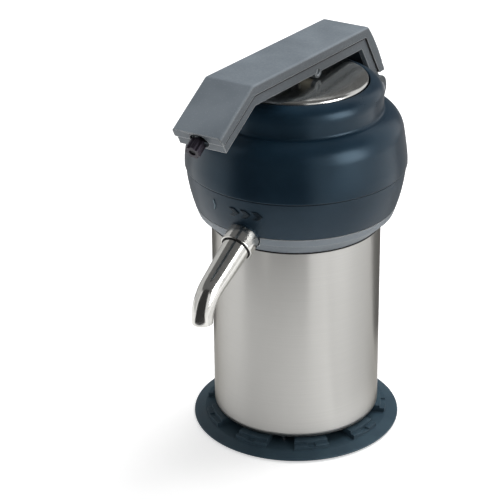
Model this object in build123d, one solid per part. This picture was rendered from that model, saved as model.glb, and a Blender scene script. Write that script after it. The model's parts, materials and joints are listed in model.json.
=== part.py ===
from build123d import *
import math
import os

# Electric citrus juicer with a press lever. Millimetres, +Z up.
# The origin is on the body's axis, at table level. The spout and the lever's handle point to -Y.

# General clearances
running_fit = 0.05
seat_gap = 0.2
side_play = 0.5
skin = 0.1
overcut = 1.0
edge_break = 1.0

# Body shell
shell_radius = 77.0
shell_wall = 1.2
shell_height = 189.0
shell_toe = 6.5
shell_lip = 1.5

# Base skirt and feet
foot_proud = 1.5
foot_radius = 9.0
foot_edge = 1.0
foot_count = 6
foot_inset = 1.0
skirt_overhang = 19.6
skirt_rim = 2.2
skirt_rise = 5.0
skirt_lip = 7.0
floor_thick = 3.0
lug_count = 9
lug_angle = 22.0
lug_height = 6.5
lug_reach = 8.0
lug_step_reach = 3.4
lug_step_drop = 2.6
lug_notch_angle = 5.0
tab_thick = 2.2
tab_height = 3.0
post_radius = 6.0
post_height = 29.5
post_edge = 14.0

# Tie rods that clamp the body between base and ring
rod_radius = 2.5
rod_count = 3
rod_edge = 0.7
rod_head = 4.5
rod_head_height = 2.5
rod_grip = 12.0
rod_boss = 5.5

# Motor
mount_height = 4.0
flange_gap = 3.0
flange_thick = 8.0
end_space = 16.0
end_wall = 5.0
stator_inset = 9.0
stack_height = 46.0
rotor_share = 0.55
air_gap = 0.6
winding_gap = 3.0
winding_share = 0.43
winding_height = 12.0
bearing_radius = 16.0
bolt_radius = 2.5
bolt_head = 4.2
bolt_head_height = 3.0
bolt_count = 4
shaft_radius = 6.0
shaft_neck = 5.0
fan_lift = 7.0
fan_height = 16.0
fan_hub = 10.0
fan_blades = 9
fan_disc = 2.0
fan_blade = 1.8
slinger_radius = 9.0
slinger_height = 2.0

# Electrical fittings inside the body and at its back
capacitor_radius = 15.0
capacitor_height = 28.0
clip_wall = 1.5
clip_height = 12.0
terminal_length = 34.0
terminal_depth = 15.0
terminal_height = 14.0
gland_bore = 4.0
gland_radius = 7.0
gland_flange = 10.0
gland_drop = 14.0
gland_length = 10.0
gland_nut = 5.0
switch_width = 20.0
switch_height = 27.0
switch_depth = 16.0
switch_rim = 2.0
switch_proud = 2.5
switch_wall = 3.0
rocker_tilt = 8.0
rocker_proud = 3.0
rocker_pin = 1.5
rocker_pin_bite = 1.6

# Grey ring on top of the body
gasket_thick = 1.2
ring_flare = 9.5
ring_height = 10.3
ring_land = 4.5
ring_lip = 8.5
ring_lip_wall = 2.0
ring_wall = 3.0
deck_drop = 3.2
deck_thick = 4.0
spigot_depth = 13.0
ring_cup = 4.6
seal_radius = 10.0
seal_boss = 4.5
seal_boss_height = 2.2

# Juice bowl
bowl_height = 44.5
bowl_flare = 12.5
bowl_bow = 1.7
bowl_wall = 3.5
bowl_floor = 3.0
bowl_ledge_share = 0.4045
bowl_ledge = 4.3
bowl_lip_height = 5.0
bowl_lip_wall = 2.4
bowl_rim_land = 3.8
bowl_foot_step = 2.5
bowl_seam = 0.4
bowl_shelf_in = 4.5
sump_clear = 1.2
sump_gap = 0.8
tube_bore = 11.0
tube_wall = 3.0
tube_height = 35.0

# Spout
spout_wide = 12.6
spout_narrow = 9.2
spout_wall = 1.5
spout_steps = 12
spout_dip = 26.5
spout_out = 61.3
spout_bend = 30.5
spout_end = 0.5
spout_in = 1.4
spout_share = 0.247
spout_boss = 11.0
spout_boss_length = 4.0
spout_bite = 2.5
spigot_radius = 8.2
notch_clear = 0.8
collar_radius = 14.9
collar_start = 8.0
collar_length = 15.3
collar_edge = 0.8
seal_ring = 1.1
seal_floor = 0.8
seal_proud = 0.5
nut_thick = 4.0
nut_radius = 12.0
nut_tail = 1.5

# Strainer
strainer_sheet = 1.2
strainer_depth = 1.5
strainer_hole = 24.0
strainer_collar = 5.0
slot_width = 1.8
slot_edge = 7.0
slot_bridge = 4.0
slot_counts = (30, 45)

# Reamer
reamer_base = 34.0
reamer_flange = 36.0
reamer_flange_thick = 3.0
reamer_height = 69.0
reamer_bow = 8.5
reamer_tip = 3.0
reamer_ribs = 10
rib_proud = 3.5
rib_thick = 3.0
reamer_gap = 6.0
skirt_bore = 16.0
skirt_wall = 3.0
skirt_drop = 14.0
shaft_grip = 50.0
drive_pin_radius = 1.5
drive_pin_length = 24.0
drive_pin_rise = 5.0

# Cover
seam_gasket = 1.0
cover_proud = 1.0
cover_wall = 3.0
cover_bow = 0.9
shoulder_step = 5.3
shoulder_height = 39.0
shoulder_bow = 2.6
ledge_step = 11.7
ledge_height = 50.7
ledge_fillet = 2.5
ledge_land = 5.0
neck_height = 27.0
neck_straight = 11.5
neck_bow = 4.2
neck_round = 12.7
mouth_land = 0.8

# Press bell
lid_gap = 0.9
lid_rise = 3.3
lid_sheet = 1.5
lid_roll = 11.0
lid_crown = 0.8
lid_edge = 2.6
lid_fall = 3.1
hub_flange = 13.0
hub_flange_thick = 1.2
hub_radius = 7.5
hub_cap = 6.0
hub_stud = 4.0
pin_rise = 7.0
pin_radius = 3.0
pin_recess = 1.2
cup_mouth = 42.0
cup_wall = 3.5
cup_drop = 46.7
cup_crown_drop = 9.7
cup_bow = 12.0
cup_neck = 12.0
bell_nut_radius = 8.0
bell_nut_height = 5.0
stud_tail = 1.5

# Lever
lever_half_width = 22.5
lever_depth = 19.0
seam_depth = 9.5
seam_gap = 0.8
shell_sheet = 2.6
frame_wall = 5.0
tongue_height = 4.5
heel_in = 14.7
heel_rise = 14.0
bend_out = 11.0
bend_rise = 24.0
nose_out = 51.0
nose_drop = 4.5
leg_lean = 33.0
tail_rise = 12.5
heel_bow = 2.2
bend_radius = 6.0
inner_radius = 3.0
edge_round = 2.2
lug_radius = 5.5
bar_width = 9.0
bar_thick = 3.5
bar_front_in = 36.0
bar_rear_in = 46.3
screw_radius = 1.5
screw_head = 3.4
screw_head_height = 2.0
screw_bite = 5.0
screw_offset = 9.0
screw_boss = 4.0

# Hinge
pivot_out = 6.0
pivot_drop = 12.7
hinge_pin_radius = 4.0
hinge_pin_head = 6.5
hinge_head_thick = 2.0
bush_wall = 2.0
cheek_radius = 9.0
ear_radius = 12.5
ear_thick = 5.5
bracket_foot_drop = 30.0
bracket_web_height = 13.0
bracket_depth = 19.0
clip_thick = 1.0
clip_groove = 0.6
bracket_screw_offset = 14.0
bracket_screw_length = 14.0

# Knob on the lever's nose
knob_radius = 7.0
knob_length = 10.5
knob_lobes = 7
knob_flute = 2.0
knob_standoff = 3.0
knob_neck = 4.5
knob_stud = 3.0
stud_length = 16.0
nose_rib = 8.0
nose_rib_depth = 15.0
nose_notch = 8.5

# Heights, from the table up
land_z = foot_proud + skirt_rise
floor_z = land_z - floor_thick
shell_z = land_z + lug_height
shell_top = shell_z + shell_height
ring_z = shell_top + gasket_thick
seat_z = ring_z + ring_height
deck_top = ring_z - deck_drop
deck_z = deck_top - deck_thick
sump_z = deck_top + seal_boss_height + sump_gap
rim_z = seat_z + bowl_height
ledge_z = rim_z - bowl_height * bowl_ledge_share
cover_z = rim_z + seam_gasket
neck_z = cover_z + ledge_height
neck_top = neck_z + neck_height
lid_top = neck_top + lid_rise
disc_top = lid_top
pin_z = disc_top + pin_rise
flange_z = land_z + post_height + mount_height
stator_z = flange_z + flange_thick + end_space
upper_z = stator_z + stack_height
motor_top = upper_z + end_space + flange_thick
reamer_z = ledge_z + reamer_gap
shoulder_z = cover_z + shoulder_height

# Radii that follow from the driving sizes
shell_bore = shell_radius - shell_wall
lip_radius = shell_radius - shell_toe - shell_lip
skirt_radius = shell_radius + skirt_overhang
lug_outer = shell_radius + lug_reach
tab_outer = lip_radius - seat_gap
lug_inner = tab_outer - tab_thick
rod_circle = lip_radius - rod_radius - rod_edge
flange_radius = rod_circle - rod_radius - flange_gap
stator_radius = flange_radius - stator_inset
rotor_radius = stator_radius * rotor_share
bolt_circle = stator_radius + bolt_radius + seat_gap * 5
post_circle = flange_radius - post_edge
fan_radius = post_circle - post_radius - flange_gap
ring_radius = shell_radius + ring_flare
land_inner = ring_radius - ring_land
ring_bore = shell_bore - ring_wall + seat_gap
sump_radius = ring_bore - sump_clear
tube_radius = tube_bore + tube_wall
bowl_foot = ring_radius + bowl_foot_step
bowl_radius = ring_radius + bowl_flare
cover_radius = bowl_radius + cover_proud
collar_end = collar_start + collar_length
lip_z = seat_z + ring_lip
bowl_corner = (bowl_foot, seat_z + edge_break)
shoulder_radius = cover_radius - shoulder_step
ledge_radius = shoulder_radius - ledge_step
neck_radius = ledge_radius - ledge_land
mouth_radius = neck_radius - neck_round
lip_outer = bowl_radius - bowl_rim_land
lip_inner = lip_outer - bowl_lip_wall
lid_radius = mouth_radius - lid_gap
pivot_y = cover_radius + pivot_out
heel_reach = pivot_y - heel_in
bend_reach = cover_radius + bend_out
nose_reach = bend_reach + nose_out
bar_reaches = (-(bend_reach - bar_front_in), heel_reach - bar_rear_in)
spout_reach = bowl_radius + spout_out
pivot_z = neck_z - pivot_drop
frame_tail_z = pivot_z + cheek_radius
shell_tail_z = pivot_z + tail_rise
cheek_inner = lever_half_width - frame_wall
ear_inner = lever_half_width + side_play
ear_outer = ear_inner + ear_thick

# The spout's axis leaves the bowl at its lower front corner
spout_root = (0.0, -(land_inner + spout_in), seat_z + bowl_height * spout_share)
spout_slope = math.radians(spout_dip)
spout_dir = (0.0, -math.cos(spout_slope), -math.sin(spout_slope))
spout_plane = Plane(origin=spout_root, x_dir=(1, 0, 0), z_dir=spout_dir)


def disc(radius, low, high, bore=0.0):
    sketch = Circle(radius)
    if bore > 0:
        sketch -= Circle(bore)
    return extrude(Pos(0, 0, low) * sketch, high - low)


def bowed(start, end, bow):
    run = end[0] - start[0]
    rise = end[1] - start[1]
    span = math.hypot(run, rise)
    return (start[0] + run / 2 + bow * rise / span, start[1] + rise / 2 - bow * run / span)


# The radius, at a height, of an arc that bows out from its chord
def bow_radius(start, end, bow, height):
    half = math.hypot(end[0] - start[0], end[1] - start[1]) / 2
    arc = (half ** 2 + bow ** 2) / (2 * bow)
    centre = bowed(start, end, bow - arc)
    return centre[0] + math.sqrt(arc ** 2 - (height - centre[1]) ** 2)


# A turned solid from an outline of (radius, height) points. A step that holds two points is an arc.
def turned(start, *steps):
    edges = []
    here = start
    for step in (*steps, start):
        if isinstance(step[0], tuple):
            via, there = step
            edges.append(ThreePointArc((here[0], 0, here[1]), (via[0], 0, via[1]), (there[0], 0, there[1])))
        else:
            there = step
            edges.append(Line((here[0], 0, here[1]), (there[0], 0, there[1])))
        here = there
    return revolve(make_face(edges), Axis.Z)


def around(count, radius, start=0.0):
    return [Pos(radius * math.cos(math.radians(start + 360 * i / count)),
                radius * math.sin(math.radians(start + 360 * i / count)), 0) for i in range(count)]


def wedge(angle, reach, low, high):
    half = math.radians(angle / 2)
    side = (reach * math.cos(half), reach * math.sin(half))
    corners = Polyline((0, 0), side, (reach * 1.2, 0), (side[0], -side[1]), close=True)
    return extrude(Pos(0, 0, low) * make_face(corners.edges()), high - low)


def along_x(radius, low, high, y, z):
    return Plane(origin=(low, y, z), z_dir=(1, 0, 0)) * extrude(Circle(radius), high - low)


# A bore or bar along Y, from the body's axis outwards to the back
def along_y(radius, low, high, x, z):
    return Plane(origin=(x, low, z), z_dir=(0, 1, 0)) * extrude(Circle(radius), high - low)


lip_edge = bow_radius(bowl_corner, (bowl_radius, rim_z), bowl_bow, lip_z)
rod_start = -90 + 180 / lug_count
rod_places = around(rod_count, rod_circle, rod_start)
post_places = around(bolt_count, post_circle)
bolt_places = around(bolt_count, bolt_circle, 45)
switch_z = (stator_z + upper_z) / 2
gland_z = flange_z - gland_drop


# Base

def base_skirt():
    rim_top = foot_proud + skirt_rim
    skirt = turned(
        (0, floor_z),
        (skirt_radius - skirt_lip, floor_z),
        (skirt_radius - skirt_lip + floor_z - foot_proud, foot_proud),
        (skirt_radius - skirt_rim / 2, foot_proud),
        (bowed((skirt_radius - skirt_rim / 2, foot_proud), (skirt_radius - skirt_rim / 2, rim_top),
               skirt_rim / 2), (skirt_radius - skirt_rim / 2, rim_top)),
        (lug_outer + overcut, land_z),
        (0, land_z),
    )
    inner_reach = shell_radius + lug_step_reach
    inner = disc(inner_reach, land_z, shell_z, lug_inner)
    outer = disc(lug_outer, land_z, shell_z - lug_step_drop, lug_inner)
    tab = disc(tab_outer, land_z, shell_z + tab_height, lug_inner)
    lug = (inner + outer + tab) & wedge(lug_angle, lug_outer, land_z, shell_z + tab_height)
    notch = disc(lug_outer + overcut, land_z + lug_step_drop, shell_z, inner_reach)
    lug -= notch & wedge(lug_notch_angle, lug_outer, land_z, shell_z)
    for i in range(lug_count):
        skirt += Rot(0, 0, -90 + 360 * i / lug_count) * lug
    for place in post_places:
        skirt += place * disc(post_radius, land_z, land_z + post_height)
    for place in rod_places:
        skirt -= place * disc(rod_radius + running_fit, floor_z, land_z)
    return skirt


def rubber_feet():
    foot = turned((0, 0), (foot_radius - foot_edge, 0), (foot_radius, foot_edge), (foot_radius, floor_z), (0, floor_z))
    return [place * foot for place in around(foot_count, shell_radius - foot_inset, rod_start + 180 / foot_count)]


def tie_rods():
    top = deck_z - seat_gap * 5
    rod = disc(rod_radius, floor_z, top) + disc(rod_head, floor_z - rod_head_height, floor_z)
    return [place * rod for place in rod_places]


# Body

def body_shell():
    toe = shell_z + shell_toe
    knee = shell_radius - shell_toe
    shell = turned(
        (lip_radius, shell_z),
        (knee, shell_z),
        (bowed((knee, shell_z), (shell_radius, toe), shell_toe * (1 - math.sqrt(0.5))), (shell_radius, toe)),
        (shell_radius, shell_top),
        (shell_bore, shell_top),
        (shell_bore, toe),
        (bowed((shell_bore, toe), (knee, shell_z + shell_wall),
               -(shell_toe - shell_wall) * (1 - math.sqrt(0.5))), (knee, shell_z + shell_wall)),
        (lip_radius, shell_z + shell_wall),
    )
    shell -= along_y(gland_radius + seat_gap, shell_radius / 2, shell_radius + overcut, 0, gland_z)
    window = Box(switch_width + 2 * seat_gap, shell_radius, switch_height + 2 * seat_gap)
    return shell - Pos(0, shell_radius, switch_z) * window


def body_gasket():
    return disc(shell_radius + seat_gap, shell_top, ring_z, shell_bore - seat_gap / 2)


def support_ring():
    spigot = shell_bore - seat_gap
    ring = turned(
        (seal_radius, deck_z),
        (spigot - ring_wall, deck_z),
        (spigot - ring_wall, ring_z - spigot_depth),
        (spigot, ring_z - spigot_depth),
        (spigot, ring_z),
        (shell_radius + seat_gap * 2, ring_z),
        bowl_corner,
        (bowed(bowl_corner, (lip_edge, lip_z), bowl_bow * (ring_lip / bowl_height) ** 2), (lip_edge, lip_z)),
        (lip_edge - ring_lip_wall, lip_z),
        (bowl_foot - ring_lip_wall, seat_z),
        (land_inner, seat_z),
        (ring_bore, deck_top + ring_cup),
        (ring_bore, deck_top),
        (seal_radius + seal_boss, deck_top),
        (seal_radius + seal_boss, deck_top + seal_boss_height),
        (seal_radius, deck_top + seal_boss_height),
    )
    for place in rod_places:
        boss = place * disc(rod_boss, deck_z - rod_grip, deck_z) & disc(spigot - seat_gap, deck_z - rod_grip, deck_z)
        ring += boss - disc(spigot, ring_z - spigot_depth, deck_z, spigot - ring_wall)
        ring -= place * disc(rod_radius + running_fit, deck_z - rod_grip, deck_z - seat_gap * 5)
    notch = spout_plane * disc(collar_radius + notch_clear, -spout_boss_length - notch_clear, collar_end * 2)
    return ring - notch


def shaft_seal():
    return disc(seal_radius - running_fit, deck_z, deck_top + seal_boss_height, shaft_radius + running_fit)


# Motor

def motor_mounts():
    return [place * disc(post_radius, land_z + post_height, flange_z) for place in post_places]


def motor_flange(low, high, wall_low, wall_high):
    flange = disc(flange_radius, low, high, bearing_radius + running_fit)
    flange += disc(stator_radius, wall_low, wall_high, stator_radius - end_wall)
    for place in bolt_places:
        flange -= place * disc(bolt_radius + seat_gap, low, high)
    return flange


def motor_lower_flange():
    top = flange_z + flange_thick
    return motor_flange(flange_z, top, top, stator_z)


def motor_upper_flange():
    low = upper_z + end_space
    return motor_flange(low, motor_top, upper_z, low)


def stator_core():
    return disc(stator_radius, stator_z, upper_z, rotor_radius + air_gap)


def motor_windings():
    outer = stator_radius - end_wall - winding_gap
    inner = outer - (stator_radius - rotor_radius) * winding_share
    edge = winding_height / 4

    def end_turn(base, tip):
        rim = tip - math.copysign(edge, tip - base)
        return turned((inner, base), (outer, base), (outer, rim), (outer - edge, tip),
                      (inner + edge, tip), (inner, rim))

    return [end_turn(upper_z, upper_z + winding_height), end_turn(stator_z, stator_z - winding_height)]


def bearing(low):
    return disc(bearing_radius, low, low + flange_thick, shaft_radius + running_fit)


def tie_bolts():
    bolt = disc(bolt_radius, flange_z, motor_top)
    bolt += disc(bolt_head, flange_z - bolt_head_height, flange_z)
    bolt += disc(bolt_head, motor_top, motor_top + bolt_head_height)
    return [place * bolt for place in bolt_places]


def motor_shaft():
    low = land_z + fan_lift - seat_gap * 10
    shaft = disc(shaft_radius, low, reamer_z) + disc(shaft_neck, reamer_z, reamer_z + shaft_grip)
    hole = along_x(drive_pin_radius + running_fit, -shaft_radius, shaft_radius, 0, reamer_z + drive_pin_rise)
    return shaft - hole


def rotor_core():
    return disc(rotor_radius, stator_z, upper_z, shaft_radius + running_fit)


def cooling_fan():
    low = land_z + fan_lift
    fan = disc(fan_radius, low + fan_height - fan_disc, low + fan_height, shaft_radius + running_fit)
    fan += disc(fan_hub, low, low + fan_height, shaft_radius + running_fit)
    root = (fan_hub + shaft_radius) / 2
    blade_length = fan_radius - fan_blade - root
    blade = Pos(root + blade_length / 2, 0, low + fan_height / 2)
    blade *= Box(blade_length, fan_blade, fan_height)
    for i in range(fan_blades):
        fan += Rot(0, 0, 360 * i / fan_blades) * blade
    return fan


def slinger():
    low = sump_z + bowl_floor + seat_gap * 10
    return disc(slinger_radius, low, low + slinger_height, shaft_radius + running_fit)


# Electrical fittings

fitting_circle = (bearing_radius + stator_radius) / 2
capacitor_place = Pos(fitting_circle, 0, 0)
terminal_place = Pos(-fitting_circle, 0, 0)


def run_capacitor():
    top = motor_top + capacitor_height
    can = turned((0, motor_top), (capacitor_radius, motor_top), (capacitor_radius, top - 2 * edge_break),
                 (capacitor_radius - 2 * edge_break, top), (0, top))
    return capacitor_place * can


def capacitor_clip():
    bore = capacitor_radius + running_fit
    return capacitor_place * disc(bore + clip_wall, motor_top, motor_top + clip_height, bore)


def terminal_block():
    block = Box(terminal_depth, terminal_length, terminal_height, align=(Align.CENTER, Align.CENTER, Align.MIN))
    return terminal_place * Pos(0, 0, motor_top) * block


def cable_gland():
    ends = (shell_bore - gland_length, shell_radius + gland_length)
    flange = along_y(gland_flange, shell_bore, shell_radius + gland_nut / 2, 0, gland_z)
    gland = flange - disc(shell_radius + skin, 0, shell_top)
    gland += along_y(gland_radius, *ends, 0, gland_z)
    gland += along_y(gland_flange, shell_bore - overcut - gland_nut, shell_bore - overcut, 0, gland_z)
    return gland - along_y(gland_bore, *ends, 0, gland_z)


rocker_pivot = shell_radius + switch_proud - rocker_proud


def switch_housing():
    depth = switch_depth + shell_wall
    body = Pos(0, shell_radius - depth / 2, switch_z) * Box(switch_width, depth, switch_height)
    rim = Box(switch_width + 2 * switch_rim, switch_proud * 2, switch_height + 2 * switch_rim)
    rim = Pos(0, shell_radius, switch_z) * rim - disc(shell_radius + skin, 0, shell_top)
    pocket = Box(switch_width - 2 * switch_wall, switch_depth, switch_height - 2 * switch_wall)
    pocket = Pos(0, shell_radius + switch_proud - switch_depth / 2 + overcut, switch_z) * pocket
    lip = Pos(0, shell_radius, switch_z) * Box(switch_width, switch_proud * 2, switch_height)
    pin_half = switch_width / 2 - switch_wall + rocker_pin_bite + seat_gap
    pivot = along_x(rocker_pin + running_fit, -pin_half, pin_half, rocker_pivot, switch_z)
    return body + rim + lip - pocket - pivot


def switch_rocker():
    half = switch_height / 2 - switch_wall - side_play * 2
    front = shell_radius + switch_proud
    tip = math.tan(math.radians(rocker_tilt)) * half
    outline = Polyline(
        (0, front - rocker_proud * 2, -half * 0.5),
        (0, front - rocker_proud, -half),
        (0, front + tip, -half),
        (0, front - tip * 0.2, 0),
        (0, front + tip, half),
        (0, front - rocker_proud, half),
        (0, front - rocker_proud * 2, half * 0.5),
        close=True,
    )
    width = switch_width / 2 - switch_wall - side_play
    rocker = extrude(make_face(outline.edges()), width, dir=(1, 0, 0), both=True)
    turn = Plane(origin=(0, rocker_pivot, switch_z)) * Rot(-rocker_tilt, 0, 0)
    pin_half = switch_width / 2 - switch_wall + rocker_pin_bite
    pin = along_x(rocker_pin, -pin_half, pin_half, rocker_pivot, switch_z)
    return turn * Pos(0, -rocker_pivot, 0) * rocker + pin


# Bowl and spout

def juice_bowl():
    cone_z = deck_top + ring_cup
    sump_top = land_inner - sump_clear
    run = sump_top - sump_radius
    rise = seat_z - cone_z
    inset = bowl_wall * math.hypot(run, rise) / rise
    floor_top = sump_z + bowl_floor
    shelf = seat_z + bowl_wall
    slope = run / rise
    ledge_inner = lip_inner - bowl_ledge
    seam_z = lip_z + bowl_seam
    wall_edge = bow_radius(bowl_corner, (bowl_radius, rim_z), bowl_bow, seam_z)
    bow_left = bowl_bow * ((rim_z - seam_z) / bowl_height) ** 2
    bowl = turned(
        (tube_bore, sump_z),
        (sump_radius, sump_z),
        (sump_radius, cone_z),
        (sump_top, seat_z),
        (bowl_foot - ring_lip_wall - seat_gap - edge_break, seat_z),
        (bowl_foot - ring_lip_wall - seat_gap, seat_z + edge_break),
        (lip_edge - ring_lip_wall - seat_gap, seam_z),
        (wall_edge - edge_break / 4, seam_z),
        (wall_edge, seam_z + edge_break / 4),
        (bowed((wall_edge, seam_z + edge_break / 4), (bowl_radius, rim_z), bow_left), (bowl_radius, rim_z)),
        (lip_outer, rim_z),
        (lip_outer, rim_z + bowl_lip_height),
        (lip_inner, rim_z + bowl_lip_height),
        (lip_inner, ledge_z),
        (ledge_inner, ledge_z),
        (ledge_inner, ledge_z - strainer_depth - overcut),
        (bowl_foot - bowl_shelf_in, shelf),
        (sump_radius - inset + (shelf - cone_z) * slope, shelf),
        (sump_radius - inset + (floor_top - cone_z) * slope, floor_top),
        (tube_radius, floor_top),
        (tube_radius, sump_z + tube_height),
        (tube_bore, sump_z + tube_height),
    )
    bowl += spout_plane * disc(spout_boss, -spout_boss_length, collar_start)
    pad = spout_plane * disc(collar_radius - edge_break / 2, 0, collar_start)
    bowl += pad & disc(bowl_radius + collar_start, seat_z, ledge_z, bowl_foot - bowl_shelf_in)
    tail = spout_boss_length + nut_thick + nut_tail
    bowl -= spout_plane * disc(collar_radius + seat_gap, collar_start, collar_end)
    bowl -= spout_plane * disc(nut_radius + seat_gap, -tail, -spout_boss_length)
    return bowl - spout_plane * disc(spigot_radius + running_fit, -tail, collar_end)


# A tapered tube from its wide end in the collar to its mouth, in even steps along the bent axis
def spout_taper(wide, narrow):
    start = spout_plane.origin + spout_plane.z_dir * (collar_end - spout_bite)
    run = spout_reach + spout_root[1]
    corner = (0, -spout_reach, spout_root[2] - run * math.tan(spout_slope))
    turn = math.radians(90 - spout_dip)
    drop = spout_bend * math.tan(turn / 2) + spout_end
    path = FilletPolyline(start, corner, (0, -spout_reach, corner[2] - drop), radius=spout_bend)
    rings = []
    for i in range(spout_steps + 1):
        share = i / spout_steps
        place = Plane(origin=path @ share, x_dir=(1, 0, 0), z_dir=path % share)
        rings.append(place * Circle(wide + (narrow - wide) * share))
    return loft(rings)


def spout_tube():
    tail = spout_boss_length + nut_thick + nut_tail
    tube = spout_taper(spout_wide, spout_narrow) - spout_taper(spout_wide - spout_wall, spout_narrow - spout_wall)
    seat = collar_end - spout_bite
    tube += spout_plane * disc(spout_wide, seat, seat + spout_wall, spigot_radius - spout_wall)
    return tube + spout_plane * disc(spigot_radius, -tail, seat + spout_wall, spigot_radius - spout_wall)


def spout_collar():
    bore = spigot_radius + running_fit
    mouth = spout_wide + seal_ring
    seat = collar_end - spout_bite - seal_floor
    return spout_plane * turned(
        (bore, collar_start),
        (collar_radius - collar_edge, collar_start),
        (collar_radius, collar_start + collar_edge),
        (collar_radius, collar_end - collar_edge),
        (bowed((collar_radius, collar_end - collar_edge), (collar_radius - collar_edge, collar_end),
               collar_edge * (1 - math.sqrt(0.5))), (collar_radius - collar_edge, collar_end)),
        (mouth, collar_end),
        (mouth, seat),
        (bore, seat),
    )


# A cupped rubber ring between the collar and the tube's wide end
def spout_seal():
    mouth = spout_wide + seal_ring - running_fit
    seat = collar_end - spout_bite - seal_floor
    ring = disc(mouth, seat, collar_end + seal_proud, spigot_radius + running_fit)
    return spout_plane * (ring - disc(spout_wide + running_fit, seat + seal_floor, collar_end + overcut))


def spout_nut():
    low = -spout_boss_length - nut_thick
    nut = extrude(Pos(0, 0, low) * RegularPolygon(nut_radius, 6), nut_thick)
    return spout_plane * (nut - disc(spigot_radius + running_fit, low, low + nut_thick))


# Strainer and reamer

def strainer():
    low = ledge_z - strainer_depth
    top = ledge_z + strainer_sheet
    rim = lip_inner - seat_gap * 2
    wall = lip_inner - bowl_ledge - seat_gap * 3
    sieve = turned(
        (strainer_hole, low),
        (wall, low),
        (wall, ledge_z),
        (rim, ledge_z),
        (rim, top),
        (wall - strainer_sheet, top),
        (wall - strainer_sheet, low + strainer_sheet),
        (strainer_hole + strainer_sheet, low + strainer_sheet),
        (strainer_hole + strainer_sheet, low + strainer_collar),
        (strainer_hole, low + strainer_collar),
    )
    first = strainer_hole + slot_edge
    length = (wall - slot_edge - first - slot_bridge) / len(slot_counts)
    for row, count in enumerate(slot_counts):
        middle = first + row * (length + slot_bridge) + length / 2
        slot = Pos(middle, 0, low) * Box(length, slot_width, strainer_sheet * 4)
        sieve -= [Rot(0, 0, 360 * i / count) * slot for i in range(count)]
    return sieve


def reamer_profile(proud):
    low = reamer_z + reamer_flange_thick
    tip = reamer_z + reamer_height
    start = (reamer_base + proud, low)
    end = (reamer_tip, tip - reamer_tip + proud)
    return start, bowed(start, end, reamer_bow), end


def reamer():
    start, via, end = reamer_profile(0)
    top = end[1] + reamer_tip / 2
    cone = turned((0, start[1]), start, (via, end), (0, top))
    rib_start, rib_via, rib_end = reamer_profile(rib_proud)
    rib = make_face([
        Line((0, 0, rib_start[1]), (rib_start[0], 0, rib_start[1])),
        ThreePointArc(*[(r, 0, z) for r, z in (rib_start, rib_via, rib_end)]),
        Line((rib_end[0], 0, rib_end[1]), (0, 0, rib_end[1])),
        Line((0, 0, rib_end[1]), (0, 0, rib_start[1])),
    ])
    rib = extrude(rib, rib_thick / 2, dir=(0, 1, 0), both=True)
    cone += [Rot(0, 0, 360 * i / reamer_ribs) * rib for i in range(reamer_ribs)]
    cone += disc(reamer_flange + rib_proud, reamer_z, start[1])
    cone += disc(skirt_bore + skirt_wall, reamer_z - skirt_drop, reamer_z, skirt_bore)
    cone -= disc(shaft_neck + running_fit, reamer_z, reamer_z + shaft_grip + seat_gap * 5)
    slot_height = drive_pin_rise + drive_pin_radius + running_fit
    slot = Box(drive_pin_length + side_play * 2, 2 * (drive_pin_radius + running_fit), slot_height * 2)
    return cone - Pos(0, 0, reamer_z) * slot


def drive_pin():
    half = drive_pin_length / 2
    return along_x(drive_pin_radius, -half, half, 0, reamer_z + drive_pin_rise)


# Cover

def cover_outline(skin):
    return (
        (cover_radius + skin, cover_z),
        (bowed((cover_radius + skin, cover_z), (shoulder_radius + skin, shoulder_z), cover_bow),
         (shoulder_radius + skin, shoulder_z)),
        (bowed((shoulder_radius + skin, shoulder_z), (ledge_radius, neck_z + skin), shoulder_bow),
         (ledge_radius, neck_z + skin)),
    )


def splash_cover():
    inner = neck_radius - cover_wall
    round_start = (neck_radius, neck_z + neck_straight)
    round_end = (mouth_radius + mouth_land, neck_top)
    roof_start = (mouth_radius + mouth_land, neck_top - cover_wall)
    roof_end = (inner, neck_z + neck_straight)
    return turned(
        *cover_outline(0),
        (neck_radius + ledge_fillet, neck_z),
        (bowed((neck_radius + ledge_fillet, neck_z), (neck_radius, neck_z + ledge_fillet),
               -ledge_fillet * (1 - math.sqrt(0.5))), (neck_radius, neck_z + ledge_fillet)),
        round_start,
        (bowed(round_start, round_end, neck_bow), round_end),
        (bowed(round_end, (mouth_radius, neck_top - mouth_land), -mouth_land * (1 - math.sqrt(0.5)) * -1),
         (mouth_radius, neck_top - mouth_land)),
        (mouth_radius, neck_top - cover_wall),
        roof_start,
        (bowed(roof_start, roof_end, -neck_bow), roof_end),
        (inner, neck_z - cover_wall),
        (ledge_radius - cover_wall, neck_z - cover_wall),
        (bowed((ledge_radius - cover_wall, neck_z - cover_wall), (shoulder_radius - cover_wall, shoulder_z),
               -shoulder_bow), (shoulder_radius - cover_wall, shoulder_z)),
        (bowed((shoulder_radius - cover_wall, shoulder_z), (cover_radius - cover_wall, cover_z), -cover_bow),
         (cover_radius - cover_wall, cover_z)),
    ) - bracket_screw_holes()


def cover_gasket():
    wall = cover_radius - cover_wall
    return disc(bowl_radius - seat_gap * 2, rim_z, cover_z, wall - seat_gap * 4)


# Hinge

bracket_foot = pivot_z - bracket_foot_drop
bracket_screw_z = bracket_foot + bracket_web_height / 2
bracket_back = cover_radius + seat_gap * 20
bracket_sides = (-1, 1)


def bracket_screw_holes():
    reach = (shell_radius, bracket_back + bracket_depth)
    return [along_y(screw_radius * 1.4 + seat_gap, *reach, side * bracket_screw_offset, bracket_screw_z)
            for side in bracket_sides]


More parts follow.
